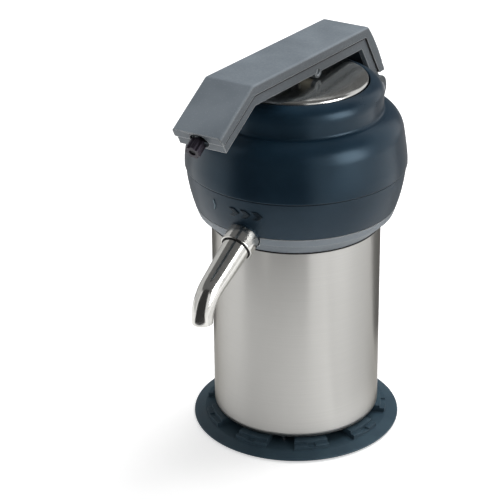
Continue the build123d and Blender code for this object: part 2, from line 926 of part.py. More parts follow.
def hinge_bracket():
    front = bracket_back - bracket_depth
    ear = make_hull([
        *(Pos(pivot_y, pivot_z) * Circle(ear_radius)).edges(),
        Line((front, bracket_foot), (bracket_back, bracket_foot)),
        Line((front, bracket_foot), (front, pivot_z + ear_radius / 2)),
    ])
    side_view = Plane(origin=(0, 0, 0), x_dir=(0, 1, 0), z_dir=(1, 0, 0))
    ear = extrude(side_view * ear, ear_thick)
    bracket = Pos(ear_inner, 0, 0) * ear + Pos(-ear_outer, 0, 0) * ear
    web = Box(2 * ear_outer, bracket_depth, bracket_web_height)
    bracket += Pos(0, bracket_back - bracket_depth / 2, bracket_foot + bracket_web_height / 2) * web
    bracket -= along_x(hinge_pin_radius + running_fit, -ear_outer, ear_outer, pivot_y, pivot_z)
    dome = turned((0, cover_z - overcut), (cover_radius + skin, cover_z - overcut), *cover_outline(skin),
                  (neck_radius + skin, neck_z), (neck_radius + skin, neck_top), (0, neck_top))
    return bracket - dome - bracket_screw_holes()


def bracket_screws():
    root = math.sqrt((shoulder_radius - cover_wall) ** 2 - (bracket_screw_offset + screw_head) ** 2)
    start = root - seat_gap * 5
    screws = []
    for side in bracket_sides:
        x = side * bracket_screw_offset
        screw = along_y(screw_radius * 1.4, start, start + bracket_screw_length, x, bracket_screw_z)
        screw += along_y(screw_head, start - screw_head_height, start, x, bracket_screw_z)
        screws.append(screw)
    return screws


def hinge_pin():
    tail = ear_outer + clip_thick * 3
    pin = along_x(hinge_pin_radius, -ear_outer, tail, pivot_y, pivot_z)
    pin += along_x(hinge_pin_head, -ear_outer - hinge_head_thick, -ear_outer, pivot_y, pivot_z)
    groove = ear_outer + clip_thick / 4
    ring = along_x(hinge_pin_radius + overcut, groove, groove + clip_thick, pivot_y, pivot_z)
    ring -= along_x(hinge_pin_radius - clip_groove, groove, groove + clip_thick, pivot_y, pivot_z)
    return pin - ring


def hinge_clip():
    groove = ear_outer + clip_thick / 4
    inset = seat_gap / 2
    clip = along_x(hinge_pin_head, groove + inset, groove + clip_thick - inset, pivot_y, pivot_z)
    return clip - along_x(hinge_pin_radius - clip_groove + running_fit, groove, groove + clip_thick,
                          pivot_y, pivot_z)


# Lever: its side outline runs up the leg, along the top and down the handle

heel = (heel_reach, pin_z + heel_rise)
bend = (-bend_reach, pin_z + bend_rise)
nose = (-nose_reach, pin_z - nose_drop)
leg_tan = math.tan(math.radians(leg_lean))
top_slope = math.degrees(math.atan2(bend[1] - heel[1], heel[0] - bend[0]))
nose_dir = Vector(0, nose[0] - bend[0], nose[1] - bend[1]).normalized()
nose_plane = Plane(origin=(0, *nose), x_dir=(1, 0, 0), z_dir=nose_dir)


# The four corners of the side outline, set in by a depth below the top
def lever_line(depth, tail_z, inset):
    tail = (heel[0] + (heel[1] - pivot_z) * leg_tan, pivot_z)
    corners = (tail, heel, bend, nose)
    lines = []
    for here, there in zip(corners, corners[1:]):
        span = math.hypot(there[0] - here[0], there[1] - here[1])
        run = ((there[0] - here[0]) / span, (there[1] - here[1]) / span)
        lines.append(((here[0] - depth * run[1], here[1] + depth * run[0]), run))
    points = []
    start, run = lines[0]
    step = (tail_z - start[1]) / run[1]
    points.append((start[0] + step * run[0], tail_z))
    for (first, one), (second, two) in zip(lines, lines[1:]):
        cross = one[0] * two[1] - one[1] * two[0]
        step = ((second[0] - first[0]) * two[1] - (second[1] - first[1]) * two[0]) / cross
        points.append((first[0] + step * one[0], first[1] + step * one[1]))
    down = lines[-1][1]
    points.append((nose[0] - depth * down[1] - inset * down[0], nose[1] + depth * down[0] - inset * down[1]))
    return points


def lever_band(high, low, half_width, tail_z, inset=0.0, rounding=inner_radius):
    top = FilletPolyline(*[(0, y, z) for y, z in lever_line(high, tail_z, inset)], radius=rounding)
    under = FilletPolyline(*[(0, y, z) for y, z in lever_line(low, tail_z, inset)], radius=inner_radius)
    ends = [Line(top @ 0, under @ 0), Line(top @ 1, under @ 1)]
    side = make_face([*top.edges(), *under.edges(), *ends])
    return extrude(side, half_width, dir=(1, 0, 0), both=True)


# A place on the lever's top, turned to its slope: local Z points down into the lever
def lever_place(reach, x, depth):
    z = heel[1] + (heel[0] - reach) * math.tan(math.radians(top_slope))
    return Pos(x, reach, z) * Rot(180 - top_slope, 0, 0) * Pos(0, 0, depth)


shell_edge = seam_depth - seam_gap / 2
frame_edge = seam_depth + seam_gap / 2
tongue_half = lever_half_width - shell_sheet - seat_gap
tongue_top = frame_edge - tongue_height - seam_gap
screw_places = [(reach, side * screw_offset) for reach in bar_reaches for side in (-1, 1)]


def nose_notch_cut():
    return nose_plane * Pos(0, -seam_depth, 0) * disc(nose_notch, -frame_wall, frame_wall)


# The shell's outer side line: a bowed leg, then the top and the nose, with rounded corners
def lever_crown():
    tail, corner, bend_at, tip = lever_line(0, shell_tail_z, 0)
    half = math.dist(tail, corner) / 2
    arc = (half ** 2 + heel_bow ** 2) / (2 * heel_bow)
    hub = bowed(tail, corner, heel_bow - arc)
    span = math.dist(corner, bend_at)
    run = ((bend_at[0] - corner[0]) / span, (bend_at[1] - corner[1]) / span)
    # the corner's round touches the top line from below and the leg's arc from inside
    start = (corner[0] - bend_radius * run[1], corner[1] + bend_radius * run[0])
    gap = (start[0] - hub[0], start[1] - hub[1])
    along = gap[0] * run[0] + gap[1] * run[1]
    step = -along - math.sqrt(along ** 2 - gap[0] ** 2 - gap[1] ** 2 + (arc - bend_radius) ** 2)
    centre = (start[0] + step * run[0], start[1] + step * run[1])
    reach = math.dist(centre, hub)
    touch = (hub[0] + (centre[0] - hub[0]) * arc / reach, hub[1] + (centre[1] - hub[1]) * arc / reach)
    leave = (corner[0] + step * run[0], corner[1] + step * run[1])
    lean = (touch[0] + leave[0] - 2 * centre[0], touch[1] + leave[1] - 2 * centre[1])
    size = math.hypot(*lean)
    crest = (centre[0] + lean[0] * bend_radius / size, centre[1] + lean[1] * bend_radius / size)
    level = math.atan2(touch[1] - hub[1], touch[0] - hub[0]) / 2 + math.atan2(tail[1] - hub[1], tail[0] - hub[0]) / 2
    leg_middle = (hub[0] + arc * math.cos(level), hub[1] + arc * math.sin(level))
    rest = FilletPolyline((0, *leave), (0, *bend_at), (0, *tip), radius=bend_radius)
    leg = ThreePointArc((0, *tail), (0, *leg_middle), (0, *touch))
    return [leg, ThreePointArc((0, *touch), (0, *crest), (0, *leave)), *rest.edges()]


def lever_shell():
    top = lever_crown()
    under = FilletPolyline(*[(0, y, z) for y, z in lever_line(shell_edge, shell_tail_z, 0)], radius=inner_radius)
    ends = [Line(top[0] @ 0, under @ 0), Line(top[-1] @ 1, under @ 1)]
    side = make_face([*top, *under.edges(), *ends])
    shell = extrude(side, lever_half_width, dir=(1, 0, 0), both=True)
    side_edges = [e for e in shell.edges() if abs(abs(e.center().X) - lever_half_width) < seat_gap]
    rounded = []
    for edge in side_edges:
        middle = Vector(0, *tuple(edge @ 0.5)[1:])
        if min(line.distance_to(middle) for line in top) < seat_gap:
            rounded.append(edge)
    shell = fillet(rounded, min(edge_round, shell_sheet * 0.9))
    hollow_tail = shell_tail_z + shell_sheet
    shell -= lever_band(shell_sheet, shell_edge + overcut, lever_half_width - shell_sheet, hollow_tail, shell_sheet)
    room = lever_band(shell_sheet / 2, frame_edge - seat_gap, lever_half_width, shell_tail_z, shell_sheet)
    for reach, x in screw_places:
        boss = lever_place(reach, x, 0) * disc(screw_boss, 0, lever_depth)
        shell += boss & room
        shell -= lever_place(reach, x, 0) * disc(screw_radius + running_fit, shell_sheet, lever_depth)
    return shell - nose_notch_cut()


def lever_frame():
    frame = lever_band(frame_edge, lever_depth, lever_half_width, frame_tail_z)
    tongue_tail = shell_tail_z + shell_sheet + seat_gap
    tongue_inset = shell_sheet + seat_gap
    frame += lever_band(tongue_top, frame_edge, tongue_half, tongue_tail, tongue_inset)
    cavity_tail = frame_tail_z + frame_wall
    frame -= lever_band(tongue_top - overcut, lever_depth + overcut, cheek_inner, max(cavity_tail, tongue_tail), frame_wall)
    bars = lever_band(frame_edge, frame_edge + bar_thick, cheek_inner + overcut, frame_tail_z, frame_wall)
    for reach in bar_reaches:
        slab = lever_place(reach, 0, 0) * Box(2 * cheek_inner + overcut, bar_width, lever_depth * 2)
        frame += bars & slab
    for reach, x in screw_places:
        frame -= lever_place(reach, x, 0) * disc(screw_radius + seat_gap, 0, lever_depth)
    rib = Box(2 * cheek_inner + overcut, nose_rib_depth - tongue_top, nose_rib)
    frame += nose_plane * Pos(0, -(nose_rib_depth + tongue_top) / 2, -frame_wall - nose_rib / 2) * rib
    frame -= nose_notch_cut()
    frame -= nose_plane * Pos(0, -seam_depth, 0) * disc(knob_stud + running_fit, -stud_length * 2, 0)
    for side in (-1, 1):
        frame += lever_cheek(side) + pin_lug(side)
    frame -= along_x(pin_radius + running_fit, -lever_half_width, lever_half_width, 0, pin_z)
    bush = hinge_pin_radius + running_fit + bush_wall + running_fit
    return frame - along_x(bush, -lever_half_width, lever_half_width, pivot_y, pivot_z)


def lever_cheek(side):
    upper = lever_line(frame_edge, frame_tail_z, 0)[0]
    lower = lever_line(lever_depth, frame_tail_z, 0)[0]
    outline = make_hull([
        *(Pos(pivot_y, pivot_z) * Circle(cheek_radius)).edges(),
        Line(upper, lower),
    ])
    side_view = Plane(origin=(0, 0, 0), x_dir=(0, 1, 0), z_dir=(1, 0, 0))
    cheek = extrude(side_view * outline, frame_wall)
    return Pos(cheek_inner if side > 0 else -lever_half_width, 0, 0) * cheek


def pin_lug(side):
    low = cheek_inner if side > 0 else -lever_half_width
    return along_x(lug_radius, low, low + frame_wall, 0, pin_z)


def lever_bushes():
    bore = hinge_pin_radius + running_fit
    bushes = []
    for low in (cheek_inner, -lever_half_width):
        bush = along_x(bore + bush_wall, low, low + frame_wall, pivot_y, pivot_z)
        bushes.append(bush - along_x(bore, low, low + frame_wall, pivot_y, pivot_z))
    return bushes


def lever_screws():
    seat = frame_edge + bar_thick
    screw = disc(screw_radius, seat - bar_thick - screw_bite, seat) + disc(screw_head, seat, seat + screw_head_height)
    return [lever_place(reach, x, 0) * screw for reach, x in screw_places]


def bell_pin():
    half = lever_half_width - pin_recess
    return along_x(pin_radius, -half, half, 0, pin_z)


def bell_spacers():
    low = hub_radius + seat_gap
    high = cheek_inner - seat_gap
    tube = along_x(lug_radius, low, high, 0, pin_z) - along_x(pin_radius + running_fit, low, high, 0, pin_z)
    return [tube, Rot(0, 0, 180) * tube]


# Press bell

disc_z = disc_top - lid_sheet
cup_crown = neck_top - cup_crown_drop
cup_low = neck_top - cup_drop


# How far an arc bows from its chord when it turns by an angle
def turn_bow(start, end, turn):
    return math.hypot(end[0] - start[0], end[1] - start[1]) / 2 * math.tan(turn / 4)


# The sheet is flat in the middle, falls in a soft curve, and rolls over at its brim
def press_lid():
    flat = (lid_radius - lid_roll, disc_top)
    crest = (lid_radius - lid_edge, disc_top - lid_crown)
    brim = (lid_radius, crest[1] - lid_fall)
    slope = 2 * math.atan2(lid_crown, lid_roll - lid_edge)
    roll = math.pi / 2 - slope
    inner_brim = (lid_radius - lid_sheet, brim[1])
    inner_crest = (crest[0] - lid_sheet * math.sin(slope), crest[1] - lid_sheet * math.cos(slope))
    inner_flat = (flat[0], disc_z)
    return turned(
        (hub_stud + seat_gap, disc_top),
        flat,
        (bowed(flat, crest, -turn_bow(flat, crest, slope)), crest),
        (bowed(crest, brim, -turn_bow(crest, brim, roll)), brim),
        inner_brim,
        (bowed(inner_brim, inner_crest, turn_bow(inner_brim, inner_crest, roll)), inner_crest),
        (bowed(inner_crest, inner_flat, turn_bow(inner_crest, inner_flat, slope)), inner_flat),
        (hub_stud + seat_gap, disc_z),
    )


def bell_hub():
    flange_top = disc_top + hub_flange_thick
    hub = turned((0, disc_top), (hub_flange, disc_top), (hub_flange, flange_top - edge_break), (hub_flange - edge_break, flange_top),
                 (hub_radius, flange_top), (hub_radius, pin_z + hub_cap - edge_break), (hub_radius - edge_break, pin_z + hub_cap),
                 (0, pin_z + hub_cap))
    hub += disc(hub_stud, cup_crown - bell_nut_height - stud_tail, disc_top)
    return hub - along_x(pin_radius + running_fit, -hub_radius, hub_radius, 0, pin_z)


def press_cup():
    bore = hub_stud + seat_gap
    mouth = (cup_mouth, cup_low)
    crown = (bell_nut_radius + cup_wall, cup_crown)
    outer_mouth = (cup_mouth + cup_wall, cup_low)
    outer_crown = (cup_neck, cup_crown + cup_wall)
    return turned(
        (bore, cup_crown),
        crown,
        (bowed(crown, mouth, -cup_bow), mouth),
        outer_mouth,
        (bowed(outer_mouth, outer_crown, cup_bow), outer_crown),
        (cup_neck, disc_z),
        (bore, disc_z),
    )


def bell_nut():
    low = cup_crown - bell_nut_height
    nut = extrude(Pos(0, 0, low) * RegularPolygon(bell_nut_radius, 6), bell_nut_height)
    return nut - disc(hub_stud + running_fit, low, cup_crown)


# Knob

knob_base = nose_plane * Pos(0, -seam_depth, knob_standoff)


def end_knob():
    knob = disc(knob_radius, 0, knob_length, knob_stud + running_fit)
    flute = disc(knob_flute, -overcut, knob_length + overcut)
    knob -= [place * flute for place in around(knob_lobes, knob_radius + knob_flute * 0.35)]
    knob += disc(knob_neck, -knob_standoff + side_play, 0, knob_stud + running_fit)
    return knob_base * knob


def knob_stud_bar():
    return knob_base * disc(knob_stud, -knob_standoff - stud_length, knob_length - overcut)


pieces = {
    "base_skirt": base_skirt(),
    "rubber_feet": rubber_feet(),
    "tie_rods": tie_rods(),
    "body_shell": body_shell(),
    "body_gasket": body_gasket(),
    "support_ring": support_ring(),
    "shaft_seal": shaft_seal(),
    "motor_mounts": motor_mounts(),
    "motor_lower_flange": motor_lower_flange(),
    "motor_upper_flange": motor_upper_flange(),
    "stator_core": stator_core(),
    "motor_windings": motor_windings(),
    "lower_bearing": bearing(flange_z),
    "upper_bearing": bearing(upper_z + end_space),
    "motor_tie_bolts": tie_bolts(),
    "run_capacitor": run_capacitor(),
    "capacitor_clip": capacitor_clip(),
    "terminal_block": terminal_block(),
    "cable_gland": cable_gland(),
    "switch_housing": switch_housing(),
    "switch_rocker": switch_rocker(),
    "motor_shaft": motor_shaft(),
    "rotor_core": rotor_core(),
    "cooling_fan": cooling_fan(),
    "shaft_slinger": slinger(),
    "juice_bowl": juice_bowl(),
    "spout_tube": spout_tube(),
    "spout_collar": spout_collar(),
    "spout_seal": spout_seal(),
    "spout_nut": spout_nut(),
    "strainer": strainer(),
    "reamer": reamer(),
    "drive_pin": drive_pin(),
    "cover_gasket": cover_gasket(),
    "splash_cover": splash_cover(),
    "hinge_bracket": hinge_bracket(),
    "bracket_screws": bracket_screws(),
    "hinge_pin": hinge_pin(),
    "hinge_clip": hinge_clip(),
    "lever_shell": lever_shell(),
    "lever_frame": lever_frame(),
    "lever_bushes": lever_bushes(),
    "lever_screws": lever_screws(),
    "bell_pin": bell_pin(),
    "bell_spacers": bell_spacers(),
    "press_lid": press_lid(),
    "bell_hub": bell_hub(),
    "press_cup": press_cup(),
    "bell_nut": bell_nut(),
    "end_knob": end_knob(),
    "knob_stud": knob_stud_bar(),
}

os.makedirs("parts", exist_ok=True)
for name, piece in pieces.items():
    shape = Compound(children=piece) if isinstance(piece, list) else piece
    export_step(shape, f"parts/{name}.step")
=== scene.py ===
import json
import math
import bmesh
import bpy
from mathutils import Matrix, Vector


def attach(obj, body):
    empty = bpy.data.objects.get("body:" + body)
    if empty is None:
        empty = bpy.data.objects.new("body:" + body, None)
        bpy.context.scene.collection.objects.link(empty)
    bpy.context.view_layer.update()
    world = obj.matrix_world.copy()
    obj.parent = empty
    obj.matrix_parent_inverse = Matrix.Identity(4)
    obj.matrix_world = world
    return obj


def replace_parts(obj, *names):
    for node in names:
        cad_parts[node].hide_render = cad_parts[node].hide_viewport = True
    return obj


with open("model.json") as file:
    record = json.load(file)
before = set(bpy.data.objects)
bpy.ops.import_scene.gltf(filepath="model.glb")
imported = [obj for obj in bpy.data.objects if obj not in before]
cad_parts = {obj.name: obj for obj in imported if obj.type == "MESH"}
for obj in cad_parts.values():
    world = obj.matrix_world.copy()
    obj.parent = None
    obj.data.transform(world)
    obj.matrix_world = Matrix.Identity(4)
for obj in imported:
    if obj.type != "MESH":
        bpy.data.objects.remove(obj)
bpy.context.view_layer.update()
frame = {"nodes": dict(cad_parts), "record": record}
nodes = frame["nodes"]
print("frame loaded:", len(nodes), "nodes")

# Camera, as far and as high as the photograph was taken from
viewPoint = {
    "distance": 1.618,  # metres from the body's axis, along the floor
    "height": 0.950,
    "turn": 30.0,  # degrees round to the juicer's left
    "tilt": 25.77,  # degrees down
    "across": 500.0,  # pixels across the picture, for the next two
    "focal": 1957.0,
    "axisAt": 46.0,  # right of the middle, where the body's axis stands
    "clip": (0.05, 50.0),
}


def placeCamera(v):
    turn = math.radians(v["turn"])
    data = bpy.data.cameras.new("photoCamera")
    camera = bpy.data.objects.new("photoCamera", data)
    bpy.context.collection.objects.link(camera)
    data.lens = v["focal"] / v["across"] * data.sensor_width
    data.clip_start, data.clip_end = v["clip"]
    right, away = math.sin(turn) * v["distance"], math.cos(turn) * v["distance"]
    place = Matrix.Translation((right, -away, v["height"]))
    look = Matrix.Rotation(turn, 4, "Z") @ Matrix.Rotation(math.radians(90 - v["tilt"]), 4, "X")
    aside = Matrix.Rotation(math.atan(v["axisAt"] / v["focal"]), 4, "Y")
    camera.matrix_world = place @ look @ aside
    bpy.context.scene.camera = camera


placeCamera(viewPoint)
print("camera placed")


def toLinear(hexCode):
    parts = [int(hexCode[i:i + 2], 16) / 255 for i in (1, 3, 5)]
    return [c / 12.92 if c <= 0.04045 else ((c + 0.055) / 1.055) ** 2.4 for c in parts] + [1.0]


def perMetre(mm):
    return 1000.0 / mm  # a pattern's scale from the real size of one of its features


def addNode(tree, kind, settings=None, links=None):
    node = tree.nodes.new(kind)
    for key, value in (settings or {}).items():
        if isinstance(key, str) and key in node.bl_rna.properties:
            setattr(node, key, value)
        else:
            node.inputs[key].default_value = value
    for key, source in (links or {}).items():
        tree.links.new(source, node.inputs[key])
    return node


def startMaterial(name, fixed):
    mat = bpy.data.materials.new(name)
    mat.use_nodes = True
    bsdf = mat.node_tree.nodes["Principled BSDF"]
    for key, value in fixed.items():
        bsdf.inputs[key].default_value = value
    return mat, mat.node_tree, bsdf


def setTones(ramp, v, places):
    ends = ramp.color_ramp.elements
    ends[0].position, ends[1].position = places
    ends[0].color, ends[1].color = toLinear(v["dark"]), toLinear(v["light"])


def joinShader(tree, bsdf, colour, gloss, bump):
    tree.links.new(colour, bsdf.inputs["Base Color"])
    tree.links.new(gloss.outputs[0], bsdf.inputs["Roughness"])
    tree.links.new(bump.outputs[0], bsdf.inputs["Normal"])


finishes = {}
noiseLow, noiseHigh = 0.3, 0.7  # most of a noise's values lie between these

# Stainless sheet, brushed round the body: fine level lines, and lights drawn out up and down
brushedStainless = {
    "light": "#b3b2af", "dark": "#aeadaa",
    "lineMm": 0.7,  # real lines are about 0.1 mm, too fine for the picture, so they are drawn coarser
    "runMm": 90.0,  # length of a line before it fades
    "smearMm": 55.0,  # patches from handling
    "rough": (0.28, 0.31), "anisotropy": 0.7, "grazing": "#a8a6a2", "lift": 0.000004,
}


def makeBrushed(name, v):
    mat, tree, bsdf = startMaterial(name, {
        "Metallic": 1.0, "Anisotropic": v["anisotropy"], "Anisotropic Rotation": 0.25,
        "Specular Tint": toLinear(v["grazing"])})
    coords = addNode(tree, "ShaderNodeTexCoord")
    run, line = perMetre(v["runMm"]), perMetre(v["lineMm"])
    drawn = addNode(tree, "ShaderNodeMapping", {"Scale": (run, run, line)},
                    {"Vector": coords.outputs["Object"]})
    lines = addNode(tree, "ShaderNodeTexNoise", {"Scale": 1.0, "Detail": 4.0, "Roughness": 0.6},
                    {"Vector": drawn.outputs[0]})
    smear = addNode(tree, "ShaderNodeTexNoise", {"Scale": perMetre(v["smearMm"]), "Detail": 2.0},
                    {"Vector": coords.outputs["Object"]})
    both = addNode(tree, "ShaderNodeMix", {"Factor": 0.25},
                   {"A": lines.outputs["Fac"], "B": smear.outputs["Fac"]})
    tone = addNode(tree, "ShaderNodeValToRGB", None, {"Fac": both.outputs[0]})
    setTones(tone, v, (0.32, 0.68))
    gloss = addNode(tree, "ShaderNodeMapRange", {"From Min": noiseLow, "From Max": noiseHigh,
                    "To Min": v["rough"][0], "To Max": v["rough"][1]}, {"Value": both.outputs[0]})
    bump = addNode(tree, "ShaderNodeBump", {"Strength": 0.2, "Distance": v["lift"]},
                   {"Height": lines.outputs["Fac"]})
    around = addNode(tree, "ShaderNodeTangent", {"direction_type": "RADIAL", "axis": "Z"})
    joinShader(tree, bsdf, tone.outputs[0], gloss, bump)
    tree.links.new(around.outputs[0], bsdf.inputs["Tangent"])
    return mat


finishes["body_steel"] = makeBrushed("brushedStainless", brushedStainless)

# Stainless steel, buffed bright: clear reflections with faint wipe marks
polishedStainless = {
    "light": "#d4d3cf", "dark": "#c8c7c3", "wipeMm": 9.0, "scratchMm": 0.8,
    "rough": (0.1, 0.18), "lift": 0.000006,
}
# The same steel in the lid, rubbed satin by cleaning: softer reflections
satinStainless = {
    "light": "#cdcdca", "dark": "#c3c3c0", "wipeMm": 14.0, "scratchMm": 0.8,
    "rough": (0.17, 0.22), "lift": 0.000005,
}
# Zinc-plated steel: bluish grey with cloudy passivation
zincPlate = {
    "light": "#a9aeb2", "dark": "#8d949a", "wipeMm": 5.0, "scratchMm": 0.7,
    "rough": (0.26, 0.42), "lift": 0.00002,
}
# Steel with a black oxide skin: nearly black, oily, pale only where rubbed
blackOxide = {
    "light": "#2b2c2e", "dark": "#1d1e20", "wipeMm": 3.0, "scratchMm": 0.7,
    "rough": (0.35, 0.5), "lift": 0.00002,
}
# Die-cast aluminium: dull silver skin with flow marks
castAluminium = {
    "light": "#9da0a3", "dark": "#7f8386", "wipeMm": 14.0, "scratchMm": 1.0,
    "rough": (0.42, 0.6), "lift": 0.00008,
}
# Sintered bronze: brown-gold, dull and finely pored
sinteredBronze = {
    "light": "#b0904f", "dark": "#8f7038", "wipeMm": 4.0, "scratchMm": 0.6,
    "rough": (0.4, 0.55), "lift": 0.00004,
}


def makeBright(name, v):
    mat, tree, bsdf = startMaterial(name, {"Metallic": 1.0})
    coords = addNode(tree, "ShaderNodeTexCoord")
    wipe = addNode(tree, "ShaderNodeTexNoise",
                   {"Scale": perMetre(v["wipeMm"]), "Detail": 3.0, "Distortion": 0.6},
                   {"Vector": coords.outputs["Object"]})
    scratch = addNode(tree, "ShaderNodeTexNoise", {"Scale": perMetre(v["scratchMm"]), "Detail": 2.0},
                      {"Vector": coords.outputs["Object"]})
    tone = addNode(tree, "ShaderNodeValToRGB", None, {"Fac": wipe.outputs["Fac"]})
    setTones(tone, v, (noiseLow, noiseHigh))
    both = addNode(tree, "ShaderNodeMix", {"Factor": 0.35},
                   {"A": wipe.outputs["Fac"], "B": scratch.outputs["Fac"]})
    gloss = addNode(tree, "ShaderNodeMapRange", {"From Min": noiseLow, "From Max": noiseHigh,
                    "To Min": v["rough"][0], "To Max": v["rough"][1]}, {"Value": both.outputs[0]})
    bump = addNode(tree, "ShaderNodeBump", {"Strength": 0.3, "Distance": v["lift"]},
                   {"Height": scratch.outputs["Fac"]})
    joinShader(tree, bsdf, tone.outputs[0], gloss, bump)
    return mat


finishes["polished_steel"] = makeBright("polishedStainless", polishedStainless)
finishes["zinc_steel"] = makeBright("zincPlate", zincPlate)
finishes["motor_casting"] = makeBright("castAluminium", castAluminium)
studFinish = makeBright("blackOxide", blackOxide)
lidFinish = makeBright("satinStainless", satinStainless)
finishes["bearing_bronze"] = makeBright("sinteredBronze", sinteredBronze)
print("metals made")

# ABS, moulded in a lightly etched tool: deep blue, half gloss, with faint clouding and a fine pebble
coverAbs = {
    "light": "#172c3b", "dark": "#112331", "edge": "#2c4252", "cloudMm": 45.0, "pebbleMm": 1.1,
    "rough": (0.27, 0.33), "specular": 0.42, "tint": "#b9d6ea", "lift": 0.000006, "round": 0.0012,
}
# The same ABS in the lower bowl, a shade lighter and greyer
bowlAbs = {
    "light": "#1e303e", "dark": "#172835", "edge": "#384c5a", "cloudMm": 35.0, "pebbleMm": 1.1,
    "rough": (0.34, 0.44), "specular": 0.42, "tint": "#c0d8ea", "lift": 0.00003, "round": 0.0010,
}
# The bowl's raised marks: glossy faces painted darker than the wall as shade, and pale edges that are a painted
# highlight
markShadeAndHighlightAbs = {
    "light": "#0f1b24", "dark": "#0b151d", "edge": "#6f828e", "cloudMm": 12.0, "pebbleMm": 1.1,
    "rough": (0.16, 0.24), "specular": 0.3, "tint": "#c0d8ea", "lift": 0.00001, "round": 0.0006,
}
# A thin rib on the bowl, paler than the wall
paleRibAbs = {
    "light": "#7c8e99", "dark": "#65777f", "edge": "#8fa0a9", "cloudMm": 6.0, "pebbleMm": 1.1,
    "rough": (0.4, 0.5), "specular": 0.42, "tint": "#c0d8ea", "lift": 0.00002, "round": 0.0004,
}
# ABS in the base, with a coarse etched texture and scuffed edges
baseAbs = {
    "light": "#3a4e59", "dark": "#324450", "edge": "#4d606e", "cloudMm": 18.0, "pebbleMm": 1.6,
    "rough": (0.45, 0.6), "specular": 0.4, "tint": "#c8dcea", "lift": 0.00008, "round": 0.0010,
}
# Phenolic moulding: purplish black and shiny where hands touch it
knobPhenolic = {
    "light": "#25222b", "dark": "#1a171e", "edge": "#4a4450", "cloudMm": 8.0, "pebbleMm": 1.0,
    "rough": (0.3, 0.42), "specular": 0.3, "tint": "#e6dcf0", "lift": 0.00003, "round": 0.0006,
}
# Nylon in the switch: black, smooth
rockerNylon = {
    "light": "#2a2a2c", "dark": "#202022", "edge": "#3f3f42", "cloudMm": 6.0, "pebbleMm": 0.8,
    "rough": (0.3, 0.42), "specular": 0.5, "tint": "#ffffff", "lift": 0.00002, "round": 0.0005,
}
# Natural nylon and polypropylene: ivory, waxy, a little uneven
ivoryNylon = {
    "light": "#dcd8ca", "dark": "#cbc6b5", "edge": "#e6e3d8", "cloudMm": 12.0, "pebbleMm": 1.0,
    "rough": (0.4, 0.52), "specular": 0.45, "tint": "#ffffff", "lift": 0.00003, "round": 0.0008,
}
# White food-grade ABS: glossy on its ribs
whiteAbs = {
    "light": "#eae8e0", "dark": "#dedbd1", "edge": "#f1efe9", "cloudMm": 15.0, "pebbleMm": 0.9,
    "rough": (0.24, 0.34), "specular": 0.5, "tint": "#ffffff", "lift": 0.00001, "round": 0.0010,
}
# Nitrile rubber: black with a dusty bloom
nitrileRubber = {
    "light": "#1b1b1c", "dark": "#111112", "edge": "#2a2a2b", "cloudMm": 7.0, "pebbleMm": 0.9,
    "rough": (0.6, 0.8), "specular": 0.35, "tint": "#ffffff", "lift": 0.00004, "round": 0.0006,
}


def makeMoulded(name, v):
    mat, tree, bsdf = startMaterial(name, {
        "IOR": 1.52, "Specular IOR Level": v["specular"], "Specular Tint": toLinear(v["tint"])})
    coords = addNode(tree, "ShaderNodeTexCoord")
    cloud = addNode(tree, "ShaderNodeTexNoise", {"Scale": perMetre(v["cloudMm"]), "Detail": 3.0},
                    {"Vector": coords.outputs["Object"]})
    pebble = addNode(tree, "ShaderNodeTexNoise", {"Scale": perMetre(v["pebbleMm"]), "Detail": 2.0},
                     {"Vector": coords.outputs["Object"]})
    both = addNode(tree, "ShaderNodeMix", {"Factor": 0.2},
                   {"A": cloud.outputs["Fac"], "B": pebble.outputs["Fac"]})
    tone = addNode(tree, "ShaderNodeValToRGB", None, {"Fac": both.outputs[0]})
    setTones(tone, v, (0.35, 0.65))
    # corners are rounded a little to the eye, and rubbed paler; on the raised marks the pale edge colour is a
    # painted highlight
    rounded = addNode(tree, "ShaderNodeBevel", {"Radius": v["round"], "samples": 4})
    flat = addNode(tree, "ShaderNodeNewGeometry")
    turn = addNode(tree, "ShaderNodeVectorMath", {"operation": "DOT_PRODUCT"},
                   {0: rounded.outputs[0], 1: flat.outputs["Normal"]})
    corner = addNode(tree, "ShaderNodeMapRange",
                     {"From Min": 0.99, "From Max": 0.85, "To Min": 0.0, "To Max": 1.0},
                     {"Value": turn.outputs["Value"]})
    rubbed = addNode(tree, "ShaderNodeMath", {"operation": "MULTIPLY", "use_clamp": True},
                     {0: corner.outputs[0], 1: cloud.outputs["Fac"]})
    edgeWearAndHighlight = addNode(tree, "ShaderNodeMix", {"data_type": "RGBA", 7: toLinear(v["edge"])},
                   {0: rubbed.outputs[0], 6: tone.outputs[0]})
    gloss = addNode(tree, "ShaderNodeMapRange", {"From Min": noiseLow, "From Max": noiseHigh,
                    "To Min": v["rough"][0], "To Max": v["rough"][1]}, {"Value": both.outputs[0]})
    bump = addNode(tree, "ShaderNodeBump", {"Strength": 0.4, "Distance": v["lift"]},
                   {"Height": pebble.outputs["Fac"], "Normal": rounded.outputs[0]})
    joinShader(tree, bsdf, edgeWearAndHighlight.outputs[2], gloss, bump)
    return mat


finishes["cover_plastic"] = makeMoulded("coverAbs", coverAbs)
finishes["bowl_plastic"] = makeMoulded("bowlAbs", bowlAbs)
finishes["base_plastic"] = makeMoulded("baseAbs", baseAbs)
markShadeAndHighlightFinish = makeMoulded("markShadeAndHighlightAbs", markShadeAndHighlightAbs)
ribFinish = makeMoulded("paleRibAbs", paleRibAbs)
finishes["black_plastic"] = makeMoulded("knobPhenolic", knobPhenolic)
finishes["rocker_plastic"] = makeMoulded("rockerNylon", rockerNylon)
finishes["pale_plastic"] = makeMoulded("ivoryNylon", ivoryNylon)
finishes["reamer_plastic"] = makeMoulded("whiteAbs", whiteAbs)
finishes["black_rubber"] = makeMoulded("nitrileRubber", nitrileRubber)
print("plastics made")
